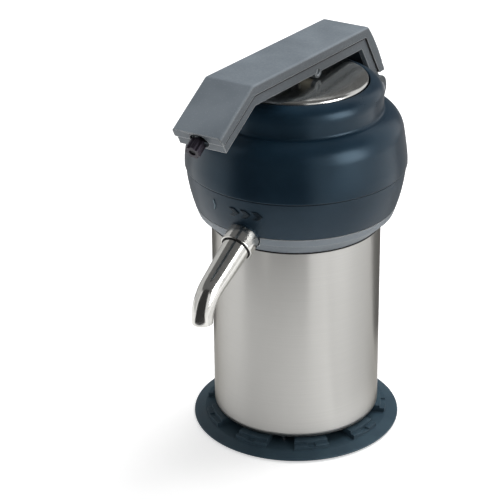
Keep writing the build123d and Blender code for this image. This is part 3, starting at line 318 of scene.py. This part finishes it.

# Polyester powder coat on cast aluminium: mid grey, orange-peel skin, pale metallic specks, corners painted
# pale as a highlight with a little wear, and upright faces painted darker as shade than the faces that point up
# or down
greyPowderCoat = {
    "light": "#7c858d", "dark": "#6d767e", "paintedSideShade": "#5a6167", "speck": "#aab1b5", "corner": "#eef2f4",
    "peelMm": 2.2, "speckMm": 1.3,  # real specks are about 0.3 mm, drawn coarser to show
    "cloudMm": 40.0, "speckShare": 0.25, "rough": (0.36, 0.5), "lift": 0.00005, "round": 0.0014,
}
# The same coat on the ring under the bowl, painted lighter as light thrown up from the floor, and even, with no
# painted side shade
ringLitPowderCoat = dict(greyPowderCoat, light="#868f97", dark="#7b848c", paintedSideShade="#868f97",
                      speckShare=0.15)
# And on the hinge bracket, in its darker shade, with its own painted side shade and a dimmer painted highlight
# on its corners
bracketPowderCoat = dict(greyPowderCoat, light="#565d63", dark="#4a5157", paintedSideShade="#3c4348",
                         corner="#8a9298")


def makeCoat(name, v):
    mat, tree, bsdf = startMaterial(name, {"IOR": 1.5, "Specular IOR Level": 0.45})
    coords = addNode(tree, "ShaderNodeTexCoord")
    cloud = addNode(tree, "ShaderNodeTexNoise", {"Scale": perMetre(v["cloudMm"]), "Detail": 2.0},
                    {"Vector": coords.outputs["Object"]})
    peel = addNode(tree, "ShaderNodeTexNoise", {"Scale": perMetre(v["peelMm"]), "Detail": 1.5},
                   {"Vector": coords.outputs["Object"]})
    cells = addNode(tree, "ShaderNodeTexVoronoi", {"Scale": perMetre(v["speckMm"])},
                    {"Vector": coords.outputs["Object"]})
    tone = addNode(tree, "ShaderNodeValToRGB", None, {"Fac": cloud.outputs["Fac"]})
    setTones(tone, v, (0.35, 0.65))
    # upright faces are painted darker as shade; faces that point up or down keep the lighter tone
    facing = addNode(tree, "ShaderNodeSeparateXYZ", None, {0: coords.outputs["Normal"]})
    upward = addNode(tree, "ShaderNodeMath", {"operation": "ABSOLUTE"}, {0: facing.outputs["Z"]})
    level = addNode(tree, "ShaderNodeMapRange", {"From Min": 0.2, "From Max": 0.75},
                    {"Value": upward.outputs[0]})
    shaded = addNode(tree, "ShaderNodeMix", {"data_type": "RGBA", 6: toLinear(v["paintedSideShade"])},
                     {0: level.outputs[0], 7: tone.outputs[0]})
    pick = addNode(tree, "ShaderNodeSeparateColor", None, {0: cells.outputs["Color"]})
    few = addNode(tree, "ShaderNodeMath", {"operation": "LESS_THAN", 1: v["speckShare"]},
                  {0: pick.outputs[0]})
    dot = addNode(tree, "ShaderNodeMapRange",
                  {"From Min": 0.42, "From Max": 0.15, "To Min": 0.0, "To Max": 0.25},
                  {"Value": cells.outputs["Distance"]})
    specks = addNode(tree, "ShaderNodeMath", {"operation": "MULTIPLY"},
                     {0: few.outputs[0], 1: dot.outputs[0]})
    specked = addNode(tree, "ShaderNodeMix", {"data_type": "RGBA", 7: toLinear(v["speck"])},
                      {0: specks.outputs[0], 6: shaded.outputs[2]})
    # corners are rounded a little to the eye, and painted pale as a highlight with a little wear
    rounded = addNode(tree, "ShaderNodeBevel", {"Radius": v["round"], "samples": 4})
    flat = addNode(tree, "ShaderNodeNewGeometry")
    turn = addNode(tree, "ShaderNodeVectorMath", {"operation": "DOT_PRODUCT"},
                   {0: rounded.outputs[0], 1: flat.outputs["Normal"]})
    corner = addNode(tree, "ShaderNodeMapRange",
                     {"From Min": 0.995, "From Max": 0.85, "To Min": 0.0, "To Max": 0.9},
                     {"Value": turn.outputs["Value"]})
    edgeWearAndHighlight = addNode(tree, "ShaderNodeMix", {"data_type": "RGBA", 7: toLinear(v["corner"])},
                   {0: corner.outputs[0], 6: specked.outputs[2]})
    gloss = addNode(tree, "ShaderNodeMapRange", {"From Min": noiseLow, "From Max": noiseHigh,
                    "To Min": v["rough"][0], "To Max": v["rough"][1]}, {"Value": peel.outputs["Fac"]})
    bump = addNode(tree, "ShaderNodeBump", {"Strength": 0.5, "Distance": v["lift"]},
                   {"Height": peel.outputs["Fac"], "Normal": rounded.outputs[0]})
    joinShader(tree, bsdf, edgeWearAndHighlight.outputs[2], gloss, bump)
    return mat


finishes["grey_coat"] = makeCoat("greyPowderCoat", greyPowderCoat)
ownFinish = {
    "support_ring": makeCoat("ringLitPowderCoat", ringLitPowderCoat),
    "hinge_bracket": makeCoat("bracketPowderCoat", bracketPowderCoat),
    "knob_stud": studFinish,
    "press_lid": lidFinish,
}

# Electrical steel in stamped sheets: dark, oily, with the edges of the sheets showing as level lines
coreIron = {"light": "#5a5c5f", "dark": "#3c3e41", "sheetMm": 1.0, "stainMm": 30.0, "rough": (0.4, 0.6)}
# Enamelled copper wire, wound and varnished: amber turns side by side
copperWire = {"light": "#b8673a", "dark": "#7c3a1c", "sheetMm": 1.2, "stainMm": 60.0, "rough": (0.3, 0.45)}
waveBands = 20  # a wave texture draws about this many bands in one unit at a scale of 1


def makeStacked(name, v):
    mat, tree, bsdf = startMaterial(name, {"Metallic": 1.0})
    coords = addNode(tree, "ShaderNodeTexCoord")
    wave = addNode(tree, "ShaderNodeTexWave", {"bands_direction": "Z",
                   "Scale": perMetre(v["sheetMm"]) / waveBands, "Distortion": 0.4, "Detail Scale": 2.0},
                   {"Vector": coords.outputs["Object"]})
    stain = addNode(tree, "ShaderNodeTexNoise", {"Scale": perMetre(v["stainMm"]), "Detail": 3.0},
                    {"Vector": coords.outputs["Object"]})
    both = addNode(tree, "ShaderNodeMix", {"Factor": 0.4},
                   {"A": wave.outputs["Fac"], "B": stain.outputs["Fac"]})
    tone = addNode(tree, "ShaderNodeValToRGB", None, {"Fac": both.outputs[0]})
    setTones(tone, v, (0.2, 0.8))
    gloss = addNode(tree, "ShaderNodeMapRange", {"To Min": v["rough"][0], "To Max": v["rough"][1]},
                    {"Value": stain.outputs["Fac"]})
    bump = addNode(tree, "ShaderNodeBump", {"Strength": 0.5, "Distance": 0.0001},
                   {"Height": wave.outputs["Fac"]})
    joinShader(tree, bsdf, tone.outputs[0], gloss, bump)
    return mat


finishes["core_iron"] = makeStacked("coreIron", coreIron)
finishes["copper_wire"] = makeStacked("copperWire", copperWire)
print("coat and motor finishes made")

for part in frame["record"]["subparts"]:
    for holder in nodes[part["node"]].material_slots:
        holder.material = ownFinish.get(part["node"], finishes[part["material_slot"]])


def startTree(name, inputs):
    tree = bpy.data.node_groups.new(name, "GeometryNodeTree")
    kinds = {bool: "NodeSocketBool", int: "NodeSocketInt", float: "NodeSocketFloat"}
    tree.interface.new_socket("Geometry", in_out="OUTPUT", socket_type="NodeSocketGeometry")
    tree.interface.new_socket("Geometry", in_out="INPUT", socket_type="NodeSocketGeometry")
    for key, value in inputs.items():
        kind = kinds.get(type(value), "NodeSocketMaterial")
        tree.interface.new_socket(key, in_out="INPUT", socket_type=kind)
    return tree, addNode(tree, "NodeGroupInput").outputs


def turnedPlace(tree, radius, turn, height):
    cos = addNode(tree, "ShaderNodeMath", {"operation": "COSINE"}, {0: turn.outputs[0]})
    sin = addNode(tree, "ShaderNodeMath", {"operation": "SINE"}, {0: turn.outputs[0]})
    x = addNode(tree, "ShaderNodeMath", {"operation": "MULTIPLY"}, {0: radius, 1: cos.outputs[0]})
    y = addNode(tree, "ShaderNodeMath", {"operation": "MULTIPLY"}, {0: radius, 1: sin.outputs[0]})
    return addNode(tree, "ShaderNodeCombineXYZ", None, {0: x.outputs[0], 1: y.outputs[0], 2: height})


def endTree(tree, geometry, given):
    done = addNode(tree, "GeometryNodeSetMaterial", None,
                   {"Geometry": geometry, "Material": given["Material"]})
    addNode(tree, "NodeGroupOutput", None, {0: done.outputs[0]})


def grow(name, start, tree, inputs, finish):
    seed = bpy.data.objects.new(name + "Start", start)
    bpy.context.collection.objects.link(seed)
    nodesMod = seed.modifiers.new("grow", "NODES")
    nodesMod.node_group = tree
    for item in tree.interface.items_tree:
        if item.in_out == "INPUT" and item.name in inputs:
            nodesMod[item.identifier] = inputs[item.name]
    finish(seed)
    ready = seed.evaluated_get(bpy.context.evaluated_depsgraph_get())
    mesh = bpy.data.meshes.new_from_object(ready)
    mesh.name = name
    bpy.data.objects.remove(seed)
    piece = bpy.data.objects.new(name, mesh)
    bpy.context.collection.objects.link(piece)
    return piece


def turnEdges(seed, width, segments, angle):
    bevel = seed.modifiers.new("edges", "BEVEL")
    bevel.width, bevel.segments = width / 1000, segments
    bevel.limit_method, bevel.angle_limit = "ANGLE", math.radians(angle)


def smoothSides(piece, sharpFrom):
    piece.data.shade_smooth()
    piece.data.set_sharp_from_angle(angle=math.radians(sharpFrom))


# Marks moulded on the bowl's front, in mm: arrows that point the way to turn, and a short rib
bowlWall = {"Foot Height": 214.5, "Rim Height": 258.0, "Foot": 89.0, "Rim": 99.0, "Bow": 1.7, "Sink": 0.4}
arrowMarks = {"Count": 3, "Spacing": 11.2, "Lift": 0.9, "Angle": -86.7, "Middle": 244.6,
              "width": 10.4, "height": 8.0, "stroke": 5.8, "edge": 0.4}
ribMark = {"Count": 1, "Spacing": 1.0, "Lift": 0.7, "Angle": -106.5, "Middle": 245.5,
           "width": 3.0, "height": 9.5, "stroke": 1.4, "edge": 0.4}


def markSheet(v):
    w, h, t = v["width"] / 2000, v["height"] / 2000, v["stroke"] / 1000
    mesh = bpy.data.meshes.new("markSheet")
    corners = [(-w, h, 0), (t - w, h, 0), (w, 0, 0), (w - t, 0, 0), (t - w, -h, 0), (-w, -h, 0)]
    mesh.from_pydata(corners, [], [(0, 3, 2, 1), (5, 4, 2, 3)])
    return mesh


def markTree(inputs):
    tree, given = startTree("raisedMarks", inputs)
    sheet = addNode(tree, "GeometryNodeSubdivideMesh", {"Level": 3}, {"Mesh": given["Geometry"]})
    thick = addNode(tree, "ShaderNodeMath", {"operation": "ADD"}, {0: given["Lift"], 1: given["Sink"]})
    raised = addNode(tree, "GeometryNodeExtrudeMesh", {"Individual": False},
                     {"Mesh": sheet.outputs[0], "Offset Scale": thick.outputs[0]})
    under = addNode(tree, "GeometryNodeFlipFaces", None, {0: sheet.outputs[0]})
    whole = addNode(tree, "GeometryNodeJoinGeometry", None, {0: raised.outputs["Mesh"]})
    tree.links.new(under.outputs[0], whole.inputs[0])
    closed = addNode(tree, "GeometryNodeMergeByDistance", {"Distance": 0.000001}, {0: whole.outputs[0]})
    step = addNode(tree, "ShaderNodeCombineXYZ", None, {"X": given["Spacing"]})
    row = addNode(tree, "GeometryNodeMeshLine", None, {"Count": given["Count"], "Offset": step.outputs[0]})
    copies = addNode(tree, "GeometryNodeInstanceOnPoints", None,
                     {"Points": row.outputs[0], "Instance": closed.outputs[0]})
    real = addNode(tree, "GeometryNodeRealizeInstances", None, {0: copies.outputs[0]})
    # the flat row is bent on to the bowl: along it is an angle, up it is a height, off it is a radius
    spot = addNode(tree, "GeometryNodeInputPosition")
    here = addNode(tree, "ShaderNodeSeparateXYZ", None, {0: spot.outputs[0]})
    height = addNode(tree, "ShaderNodeMath", {"operation": "ADD"}, {0: here.outputs["Y"], 1: given["Middle"]})
    share = addNode(tree, "ShaderNodeMapRange", {"clamp": False}, {
        "Value": height.outputs[0], "From Min": given["Foot Height"], "From Max": given["Rim Height"]})
    cone = addNode(tree, "ShaderNodeMapRange", {"clamp": False}, {
        "Value": share.outputs[0], "To Min": given["Foot"], "To Max": given["Rim"]})
    rest = addNode(tree, "ShaderNodeMath", {"operation": "SUBTRACT", 0: 1.0}, {1: share.outputs[0]})
    hump = addNode(tree, "ShaderNodeMath", {"operation": "MULTIPLY"},
                   {0: share.outputs[0], 1: rest.outputs[0]})
    four = addNode(tree, "ShaderNodeMath", {"operation": "MULTIPLY", 1: 4.0}, {0: given["Bow"]})
    wall = addNode(tree, "ShaderNodeMath", {"operation": "MULTIPLY_ADD"},
                   {0: hump.outputs[0], 1: four.outputs[0], 2: cone.outputs[0]})
    outer = addNode(tree, "ShaderNodeMath", {"operation": "ADD"}, {0: wall.outputs[0], 1: here.outputs["Z"]})
    radius = addNode(tree, "ShaderNodeMath", {"operation": "SUBTRACT"},
                     {0: outer.outputs[0], 1: given["Sink"]})
    along = addNode(tree, "ShaderNodeMath", {"operation": "DIVIDE"},
                    {0: here.outputs["X"], 1: wall.outputs[0]})
    turn = addNode(tree, "ShaderNodeMath", {"operation": "ADD"}, {0: along.outputs[0], 1: given["Angle"]})
    there = turnedPlace(tree, radius.outputs[0], turn, height.outputs[0])
    laid = addNode(tree, "GeometryNodeSetPosition", None,
                   {"Geometry": real.outputs[0], "Position": there.outputs[0]})
    endTree(tree, laid.outputs[0], given)
    return tree


def addMarks(name, v, finish):
    inputs = {key: value / 1000 for key, value in dict(bowlWall, **v).items() if key[0].isupper()}
    inputs["Count"] = v["Count"]
    inputs["Angle"] = math.radians(v["Angle"]) - (v["Count"] - 1) / 2 * v["Spacing"] / bowlWall["Rim"]
    inputs["Material"] = finish
    piece = grow(name, markSheet(v), markTree(inputs), inputs,
                 lambda seed: turnEdges(seed, v["edge"], 2, 40))
    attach(piece, "base")


addMarks("arrowMarks", arrowMarks, markShadeAndHighlightFinish)
addMarks("ribMark", ribMark, ribFinish)
print("bowl marks raised")

# Spout, in mm: a polished tube that narrows towards its mouth, and the spigot that goes through the bowl
juiceSpout = {"root": (-83.4, 224.5), "dip": 26.5, "tail": 9.5, "corner": -160.3, "mouth": 166.79,
              "wall": 1.5, "edge": 0.4, "sharpFrom": 50,
              "Bend": 30.5, "Wide": 12.6, "Narrow": 9.2, "Neck": 8.2, "Neck Length": 30.3,
              "Rings": 150, "Sides": 72}
# A dark strip in the lever's seam, painted shade in the gap between shell and frame, in mm: its line up the
# leg, along the arm, down the nose and across
seamShadeStrip = {"half": 23.2, "line": [(112.43, 311.0), (85.98, 351.75), (-108.73, 361.37), (-157.2, 334.7)],
             "sharpFrom": 50, "Bend": 0.8, "Wide": 0.75, "Narrow": 0.75, "Neck": 0.75, "Neck Length": 0.0,
             "Rings": 420, "Sides": 10}


def pathMesh(name, points):
    mesh = bpy.data.meshes.new(name)
    links = [(i, i + 1) for i in range(len(points) - 1)]
    mesh.from_pydata([[c / 1000 for c in p] for p in points], links, [])
    return mesh


def tubeTree(inputs):
    tree, given = startTree("sweptTube", inputs)
    line = addNode(tree, "GeometryNodeMeshToCurve", None, {"Mesh": given["Geometry"]})
    bent = addNode(tree, "GeometryNodeFilletCurve", {"mode": "POLY", "Count": 24, "Limit Radius": True},
                   {"Curve": line.outputs[0], "Radius": given["Bend"]})
    even = addNode(tree, "GeometryNodeResampleCurve", None,
                   {"Curve": bent.outputs[0], "Count": given["Rings"]})
    along = addNode(tree, "GeometryNodeSplineParameter")
    whole = addNode(tree, "GeometryNodeSplineLength")
    taper = addNode(tree, "ShaderNodeMapRange", None, {
        "Value": along.outputs["Length"], "From Min": given["Neck Length"],
        "From Max": whole.outputs["Length"], "To Min": given["Wide"], "To Max": given["Narrow"]})
    inside = addNode(tree, "ShaderNodeMath", {"operation": "LESS_THAN"},
                     {0: along.outputs["Length"], 1: given["Neck Length"]})
    radius = addNode(tree, "ShaderNodeMix", None,
                     {"Factor": inside.outputs[0], "A": taper.outputs[0], "B": given["Neck"]})
    ring = addNode(tree, "GeometryNodeCurvePrimitiveCircle", {"Radius": 1.0}, {"Resolution": given["Sides"]})
    skin = addNode(tree, "GeometryNodeCurveToMesh", None, {
        "Curve": even.outputs[0], "Profile Curve": ring.outputs[0], "Scale": radius.outputs[0],
        "Fill Caps": given["Caps"]})
    real = addNode(tree, "GeometryNodeRealizeInstances", None, {0: skin.outputs[0]})
    endTree(tree, real.outputs[0], given)
    return tree


def sweep(name, points, v, caps, mat, finish):
    inputs = {key: value / 1000 for key, value in v.items() if key[0].isupper()}
    inputs.update({"Rings": v["Rings"], "Sides": v["Sides"], "Caps": caps, "Material": mat})
    piece = grow(name, pathMesh(name + "Path", points), tubeTree(inputs), inputs, finish)
    smoothSides(piece, v["sharpFrom"])
    return piece


def addSpout(v):
    dip = math.radians(v["dip"])
    y, z = v["root"]
    start = (0, y + v["tail"] * math.cos(dip), z + v["tail"] * math.sin(dip))
    corner = (0, v["corner"], z + (v["corner"] - y) * math.tan(dip))

    def giveWall(seed):
        wall = seed.modifiers.new("wall", "SOLIDIFY")
        wall.thickness, wall.offset, wall.use_even_offset = v["wall"] / 1000, -1, True
        turnEdges(seed, v["edge"], 3, 50)

    piece = sweep("juiceSpout", [start, corner, (0, v["corner"], v["mouth"])], v, False,
                  finishes["polished_steel"], giveWall)
    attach(piece, "base")
    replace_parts(piece, "spout_tube")


# the strip is drawn in black rubber as painted shade along the seam
def addSeamShade(v):
    right = [(v["half"], y, z) for y, z in v["line"]]
    left = [(-x, y, z) for x, y, z in reversed(right)]
    piece = sweep("seamShadeStrip", right + left, v, True, finishes["black_rubber"], lambda seed: None)
    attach(piece, "lever")


addSpout(juiceSpout)
addSeamShade(seamShadeStrip)
print("spout and bead swept")

# Cover, in mm: a turned shell, outside up from the rim, over the shoulder and neck, and down inside.
# Each point has its radius, its height, and how far the stretch that leads to it is bowed
turnedCover = {"Rings": 340, "Sides": 176, "step": 0.8, "sharpFrom": 50, "outline": [
    (97.0, 259.0, 0), (100.0, 259.0, 0), (99.3, 270.6, 0.2), (96.36, 291.0, 0.08), (81.1, 309.7, 3.31),
    (80.5, 309.7, 0), (78.0, 312.2, -0.73), (78.0, 321.2, 0), (66.1, 336.7, 4.2), (65.3, 335.9, 0.23),
    (65.3, 333.7, 0), (66.1, 333.7, 0), (75.0, 321.2, -4.2), (75.0, 306.7, 0), (78.1, 306.7, 0),
    (93.36, 291.0, -3.2), (96.3, 270.6, -0.08), (97.0, 259.0, -0.2)]}
# A black ring at the body gasket, under the support ring: painted shade that thickens the dark gap line
gasketShadeRing = {"Rings": 24, "Sides": 176, "step": 0.15, "sharpFrom": 50, "outline": [
    (77.0, 201.5, 0), (77.0, 203.2, 0.9), (77.0, 201.5, 0)]}


def bowedLine(outline, step):
    line = [outline[0][:2]]
    for (r0, z0, _), (r1, z1, bow) in zip(outline, outline[1:]):
        run, rise = r1 - r0, z1 - z0
        span = math.hypot(run, rise)
        count = max(1, round(span / step)) if bow else 1
        for i in range(1, count + 1):
            t = i / count
            out = 4 * bow * t * (1 - t) / span  # a shallow arc, as good as round at these bows
            line.append((r0 + run * t + rise * out, z0 + rise * t - run * out))
    return line


def lathe(inputs):
    tree, given = startTree("turnedShell", inputs)
    line = addNode(tree, "GeometryNodeMeshToCurve", None, {"Mesh": given["Geometry"]})
    even = addNode(tree, "GeometryNodeResampleCurve", None,
                   {"Curve": line.outputs[0], "Count": given["Rings"]})
    columns = addNode(tree, "ShaderNodeMath", {"operation": "ADD", 1: 1.0}, {0: given["Sides"]})
    sheet = addNode(tree, "GeometryNodeMeshGrid", {"Size X": 1.0, "Size Y": 1.0},
                    {"Vertices X": columns.outputs[0], "Vertices Y": given["Rings"]})
    share = addNode(tree, "ShaderNodeSeparateXYZ", None, {0: sheet.outputs["UV Map"]})
    point = addNode(tree, "GeometryNodeSampleCurve", {"mode": "FACTOR"},
                    {"Curves": even.outputs[0], "Factor": share.outputs["Y"]})
    spot = addNode(tree, "ShaderNodeSeparateXYZ", None, {0: point.outputs["Position"]})
    turn = addNode(tree, "ShaderNodeMath", {"operation": "MULTIPLY", 1: 2 * math.pi},
                   {0: share.outputs["X"]})
    there = turnedPlace(tree, spot.outputs["X"], turn, spot.outputs["Z"])
    laid = addNode(tree, "GeometryNodeSetPosition", None,
                   {"Geometry": sheet.outputs["Mesh"], "Position": there.outputs[0]})
    shut = addNode(tree, "GeometryNodeMergeByDistance", {"Distance": 0.00001}, {0: laid.outputs[0]})
    real = addNode(tree, "GeometryNodeRealizeInstances", None, {0: shut.outputs[0]})
    endTree(tree, real.outputs[0], given)
    return tree


def addTurned(name, v, body, slot):
    inputs = {"Rings": v["Rings"], "Sides": v["Sides"], "Material": finishes[slot]}
    line = [(r, 0, z) for r, z in bowedLine(v["outline"], v["step"])]
    piece = grow(name, pathMesh(name + "Line", line), lathe(inputs), inputs, lambda seed: None)
    smoothSides(piece, v["sharpFrom"])
    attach(piece, body)
    return piece


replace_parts(addTurned("turnedCover", turnedCover, "cover", "cover_plastic"), "splash_cover")
addTurned("gasketShadeRing", gasketShadeRing, "base", "black_rubber")
print("cover and lip turned")

# The lever's upper shell, in mm: it overhangs its frame a little, at the sides and at the nose
leverTop = {"widen": 1.3, "reach": 1.2, "noseFrom": -112.0, "noseTo": -162.0, "slope": (-0.872, -0.489),
            "mergeWithin": 0.001, "sharpFrom": 30}


def addLeverTop(v):
    mesh = nodes["lever_shell"].data.copy()
    mesh.name = "leverTop"
    shell = bmesh.new()
    shell.from_mesh(mesh)
    bmesh.ops.remove_doubles(shell, verts=shell.verts, dist=v["mergeWithin"] / 1000)
    half = max(abs(vert.co.x) for vert in shell.verts)
    for vert in shell.verts:
        share = (v["noseFrom"] / 1000 - vert.co.y) / (v["noseFrom"] - v["noseTo"]) * 1000
        step = min(1, max(0, share)) * v["reach"] / 1000
        vert.co.x *= 1 + v["widen"] / 1000 / half
        vert.co.y += v["slope"][0] * step
        vert.co.z += v["slope"][1] * step
    shell.to_mesh(mesh)
    shell.free()
    piece = bpy.data.objects.new("leverTop", mesh)
    bpy.context.collection.objects.link(piece)
    smoothSides(piece, v["sharpFrom"])
    flats = piece.modifiers.new("flats", "WEIGHTED_NORMAL")
    flats.keep_sharp = True
    for holder in piece.material_slots:
        holder.material = finishes["grey_coat"]
    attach(piece, "lever")
    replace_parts(piece, "lever_shell")


addLeverTop(leverTop)
print("lever top fitted")

# Floor, lamps, and the cards that only reflections see
stage = {
    "floorSize": 8.0, "floorGrey": 0.9, "floorGlow": 0.54, "skyLevel": 0.34, "aim": (0.0, 0.0, 0.2),
    "topSpot": (0.3, 1.0, 2.1), "topSize": 1.7, "topPower": 42.0,
    "keySpot": (2.2, -0.3, 1.2), "keySize": 1.8, "keyPower": 4.0,
}
studioCards = [  # azimuth and width in degrees, distance and edges in metres, and how bright
    {"name": "frontFlag", "azimuth": -86.0, "width": 84.0, "distance": 2.3, "edges": (0.0, 3.2), "level": 0.05},
    {"name": "sideWindow", "azimuth": -1.0, "width": 30.0, "distance": 2.3, "edges": (0.25, 1.9), "level": 7.0},
    {"name": "backGlow", "azimuth": 66.0, "width": 34.0, "distance": 2.6, "edges": (0.0, 2.2), "level": 1.0},
    {"name": "backFlag", "azimuth": 110.0, "width": 54.0, "distance": 2.6, "edges": (0.0, 2.2), "level": 0.15},
    {"name": "leftGlow", "azimuth": 149.0, "width": 22.0, "distance": 2.6, "edges": (0.0, 2.2), "level": 0.6},
    {"name": "leftFlag", "azimuth": 190.0, "width": 60.0, "distance": 2.4, "edges": (0.0, 2.0), "level": 0.7},
]
floorCards = [  # these lie just over the floor, and reach from near to far
    {"name": "frontFloor", "azimuth": -86.0, "width": 84.0, "reach": (0.5, 2.2), "lift": 0.001, "level": 0.05},
    {"name": "rearFloor", "azimuth": 114.0, "width": 114.0, "reach": (0.2, 3.5), "lift": 0.001, "level": 0.38},
    {"name": "sideFloor", "azimuth": 16.0, "width": 72.0, "reach": (0.13, 0.6), "lift": 0.001, "level": 1.1},
]
roofCard = {"left": -3.2, "right": 4.2, "front": -2.0, "back": 2.4, "height": 3.0, "level": 0.17}
arcSteps = 12  # straight stretches in a floor card's curved edge


def addPlane(name, corners, mat):
    mesh = bpy.data.meshes.new(name)
    mesh.from_pydata(corners, [], [tuple(range(len(corners)))])
    mesh.materials.append(mat)
    plane = bpy.data.objects.new(name, mesh)
    bpy.context.collection.objects.link(plane)
    return plane


def addCard(name, corners, level):
    mat = startMaterial(name + "Card", {
        "Base Color": (0, 0, 0, 1), "Roughness": 1.0, "Specular IOR Level": 0.0,
        "Emission Color": (1, 1, 1, 1), "Emission Strength": level})[0]
    card = addPlane(name, corners, mat)
    card.visible_camera = card.visible_diffuse = False
    card.visible_shadow = card.visible_transmission = False


def atAzimuth(degrees, distance, z):
    turn = math.radians(degrees)
    return (math.cos(turn) * distance, math.sin(turn) * distance, z)


def seenByEye(tree):
    path = addNode(tree, "ShaderNodeLightPath")
    seen = addNode(tree, "ShaderNodeMath", {"operation": "MAXIMUM"},
                   {0: path.outputs["Is Camera Ray"], 1: path.outputs["Is Glossy Ray"]})
    return addNode(tree, "ShaderNodeMath", {"operation": "MAXIMUM"},
                   {0: seen.outputs[0], 1: path.outputs["Is Transmission Ray"]})


def buildStage(v):
    half = v["floorSize"] / 2
    grey = v["floorGrey"]
    mat, tree, bsdf = startMaterial("palePaperSweep", {
        "Base Color": (grey, grey, grey, 1), "Roughness": 0.9, "Specular IOR Level": 0.0,
        "Emission Color": (1, 1, 1, 1)})
    glow = addNode(tree, "ShaderNodeMath", {"operation": "MULTIPLY", 1: v["floorGlow"]},
                   {0: seenByEye(tree).outputs[0]})
    tree.links.new(glow.outputs[0], bsdf.inputs["Emission Strength"])
    addPlane("studioFloor", [(-half, -half, 0), (half, -half, 0), (half, half, 0), (-half, half, 0)], mat)

    world = bpy.data.worlds.new("studioSky")
    bpy.context.scene.world = world
    world.use_nodes = True
    tree = world.node_tree
    background = tree.nodes["Background"]
    level = addNode(tree, "ShaderNodeMapRange", {"To Min": v["skyLevel"], "To Max": 1.0},
                    {"Value": seenByEye(tree).outputs[0]})
    tree.links.new(level.outputs[0], background.inputs["Strength"])
    background.inputs["Color"].default_value = (1, 1, 1, 1)
    for name in ("top", "key"):
        data = bpy.data.lights.new(name + "Softbox", "AREA")
        data.size = v[name + "Size"]
        data.energy = v[name + "Power"]
        lamp = bpy.data.objects.new(name + "Softbox", data)
        bpy.context.collection.objects.link(lamp)
        lamp.location = v[name + "Spot"]
        lamp.rotation_mode = "QUATERNION"
        lamp.rotation_quaternion = (Vector(v["aim"]) - lamp.location).to_track_quat("-Z", "Y")
        lamp.visible_glossy = False  # the cards stand for the lamps in reflections
    bpy.context.scene.view_settings.view_transform = "Standard"


def buildCards(cards, lows, high):
    for c in cards:
        start, end = c["azimuth"] - c["width"] / 2, c["azimuth"] + c["width"] / 2
        bottom, top = c["edges"]
        corners = [atAzimuth(turn, c["distance"], z) for turn, z in (
            (start, bottom), (start, top), (end, top), (end, bottom))]
        addCard(c["name"], corners, c["level"])
    for c in lows:
        near, far = c["reach"]
        turns = [c["azimuth"] + c["width"] * (i / arcSteps - 0.5) for i in range(arcSteps + 1)]
        corners = [atAzimuth(t, near, c["lift"]) for t in turns]
        corners += [atAzimuth(t, far, c["lift"]) for t in reversed(turns)]
        addCard(c["name"], corners, c["level"])
    corners = [(high[a], high[b], high["height"]) for a, b in (
        ("left", "front"), ("left", "back"), ("right", "back"), ("right", "front"))]
    addCard("roofFlag", corners, high["level"])


buildStage(stage)
buildCards(studioCards, floorCards, roofCard)
print("stage built")
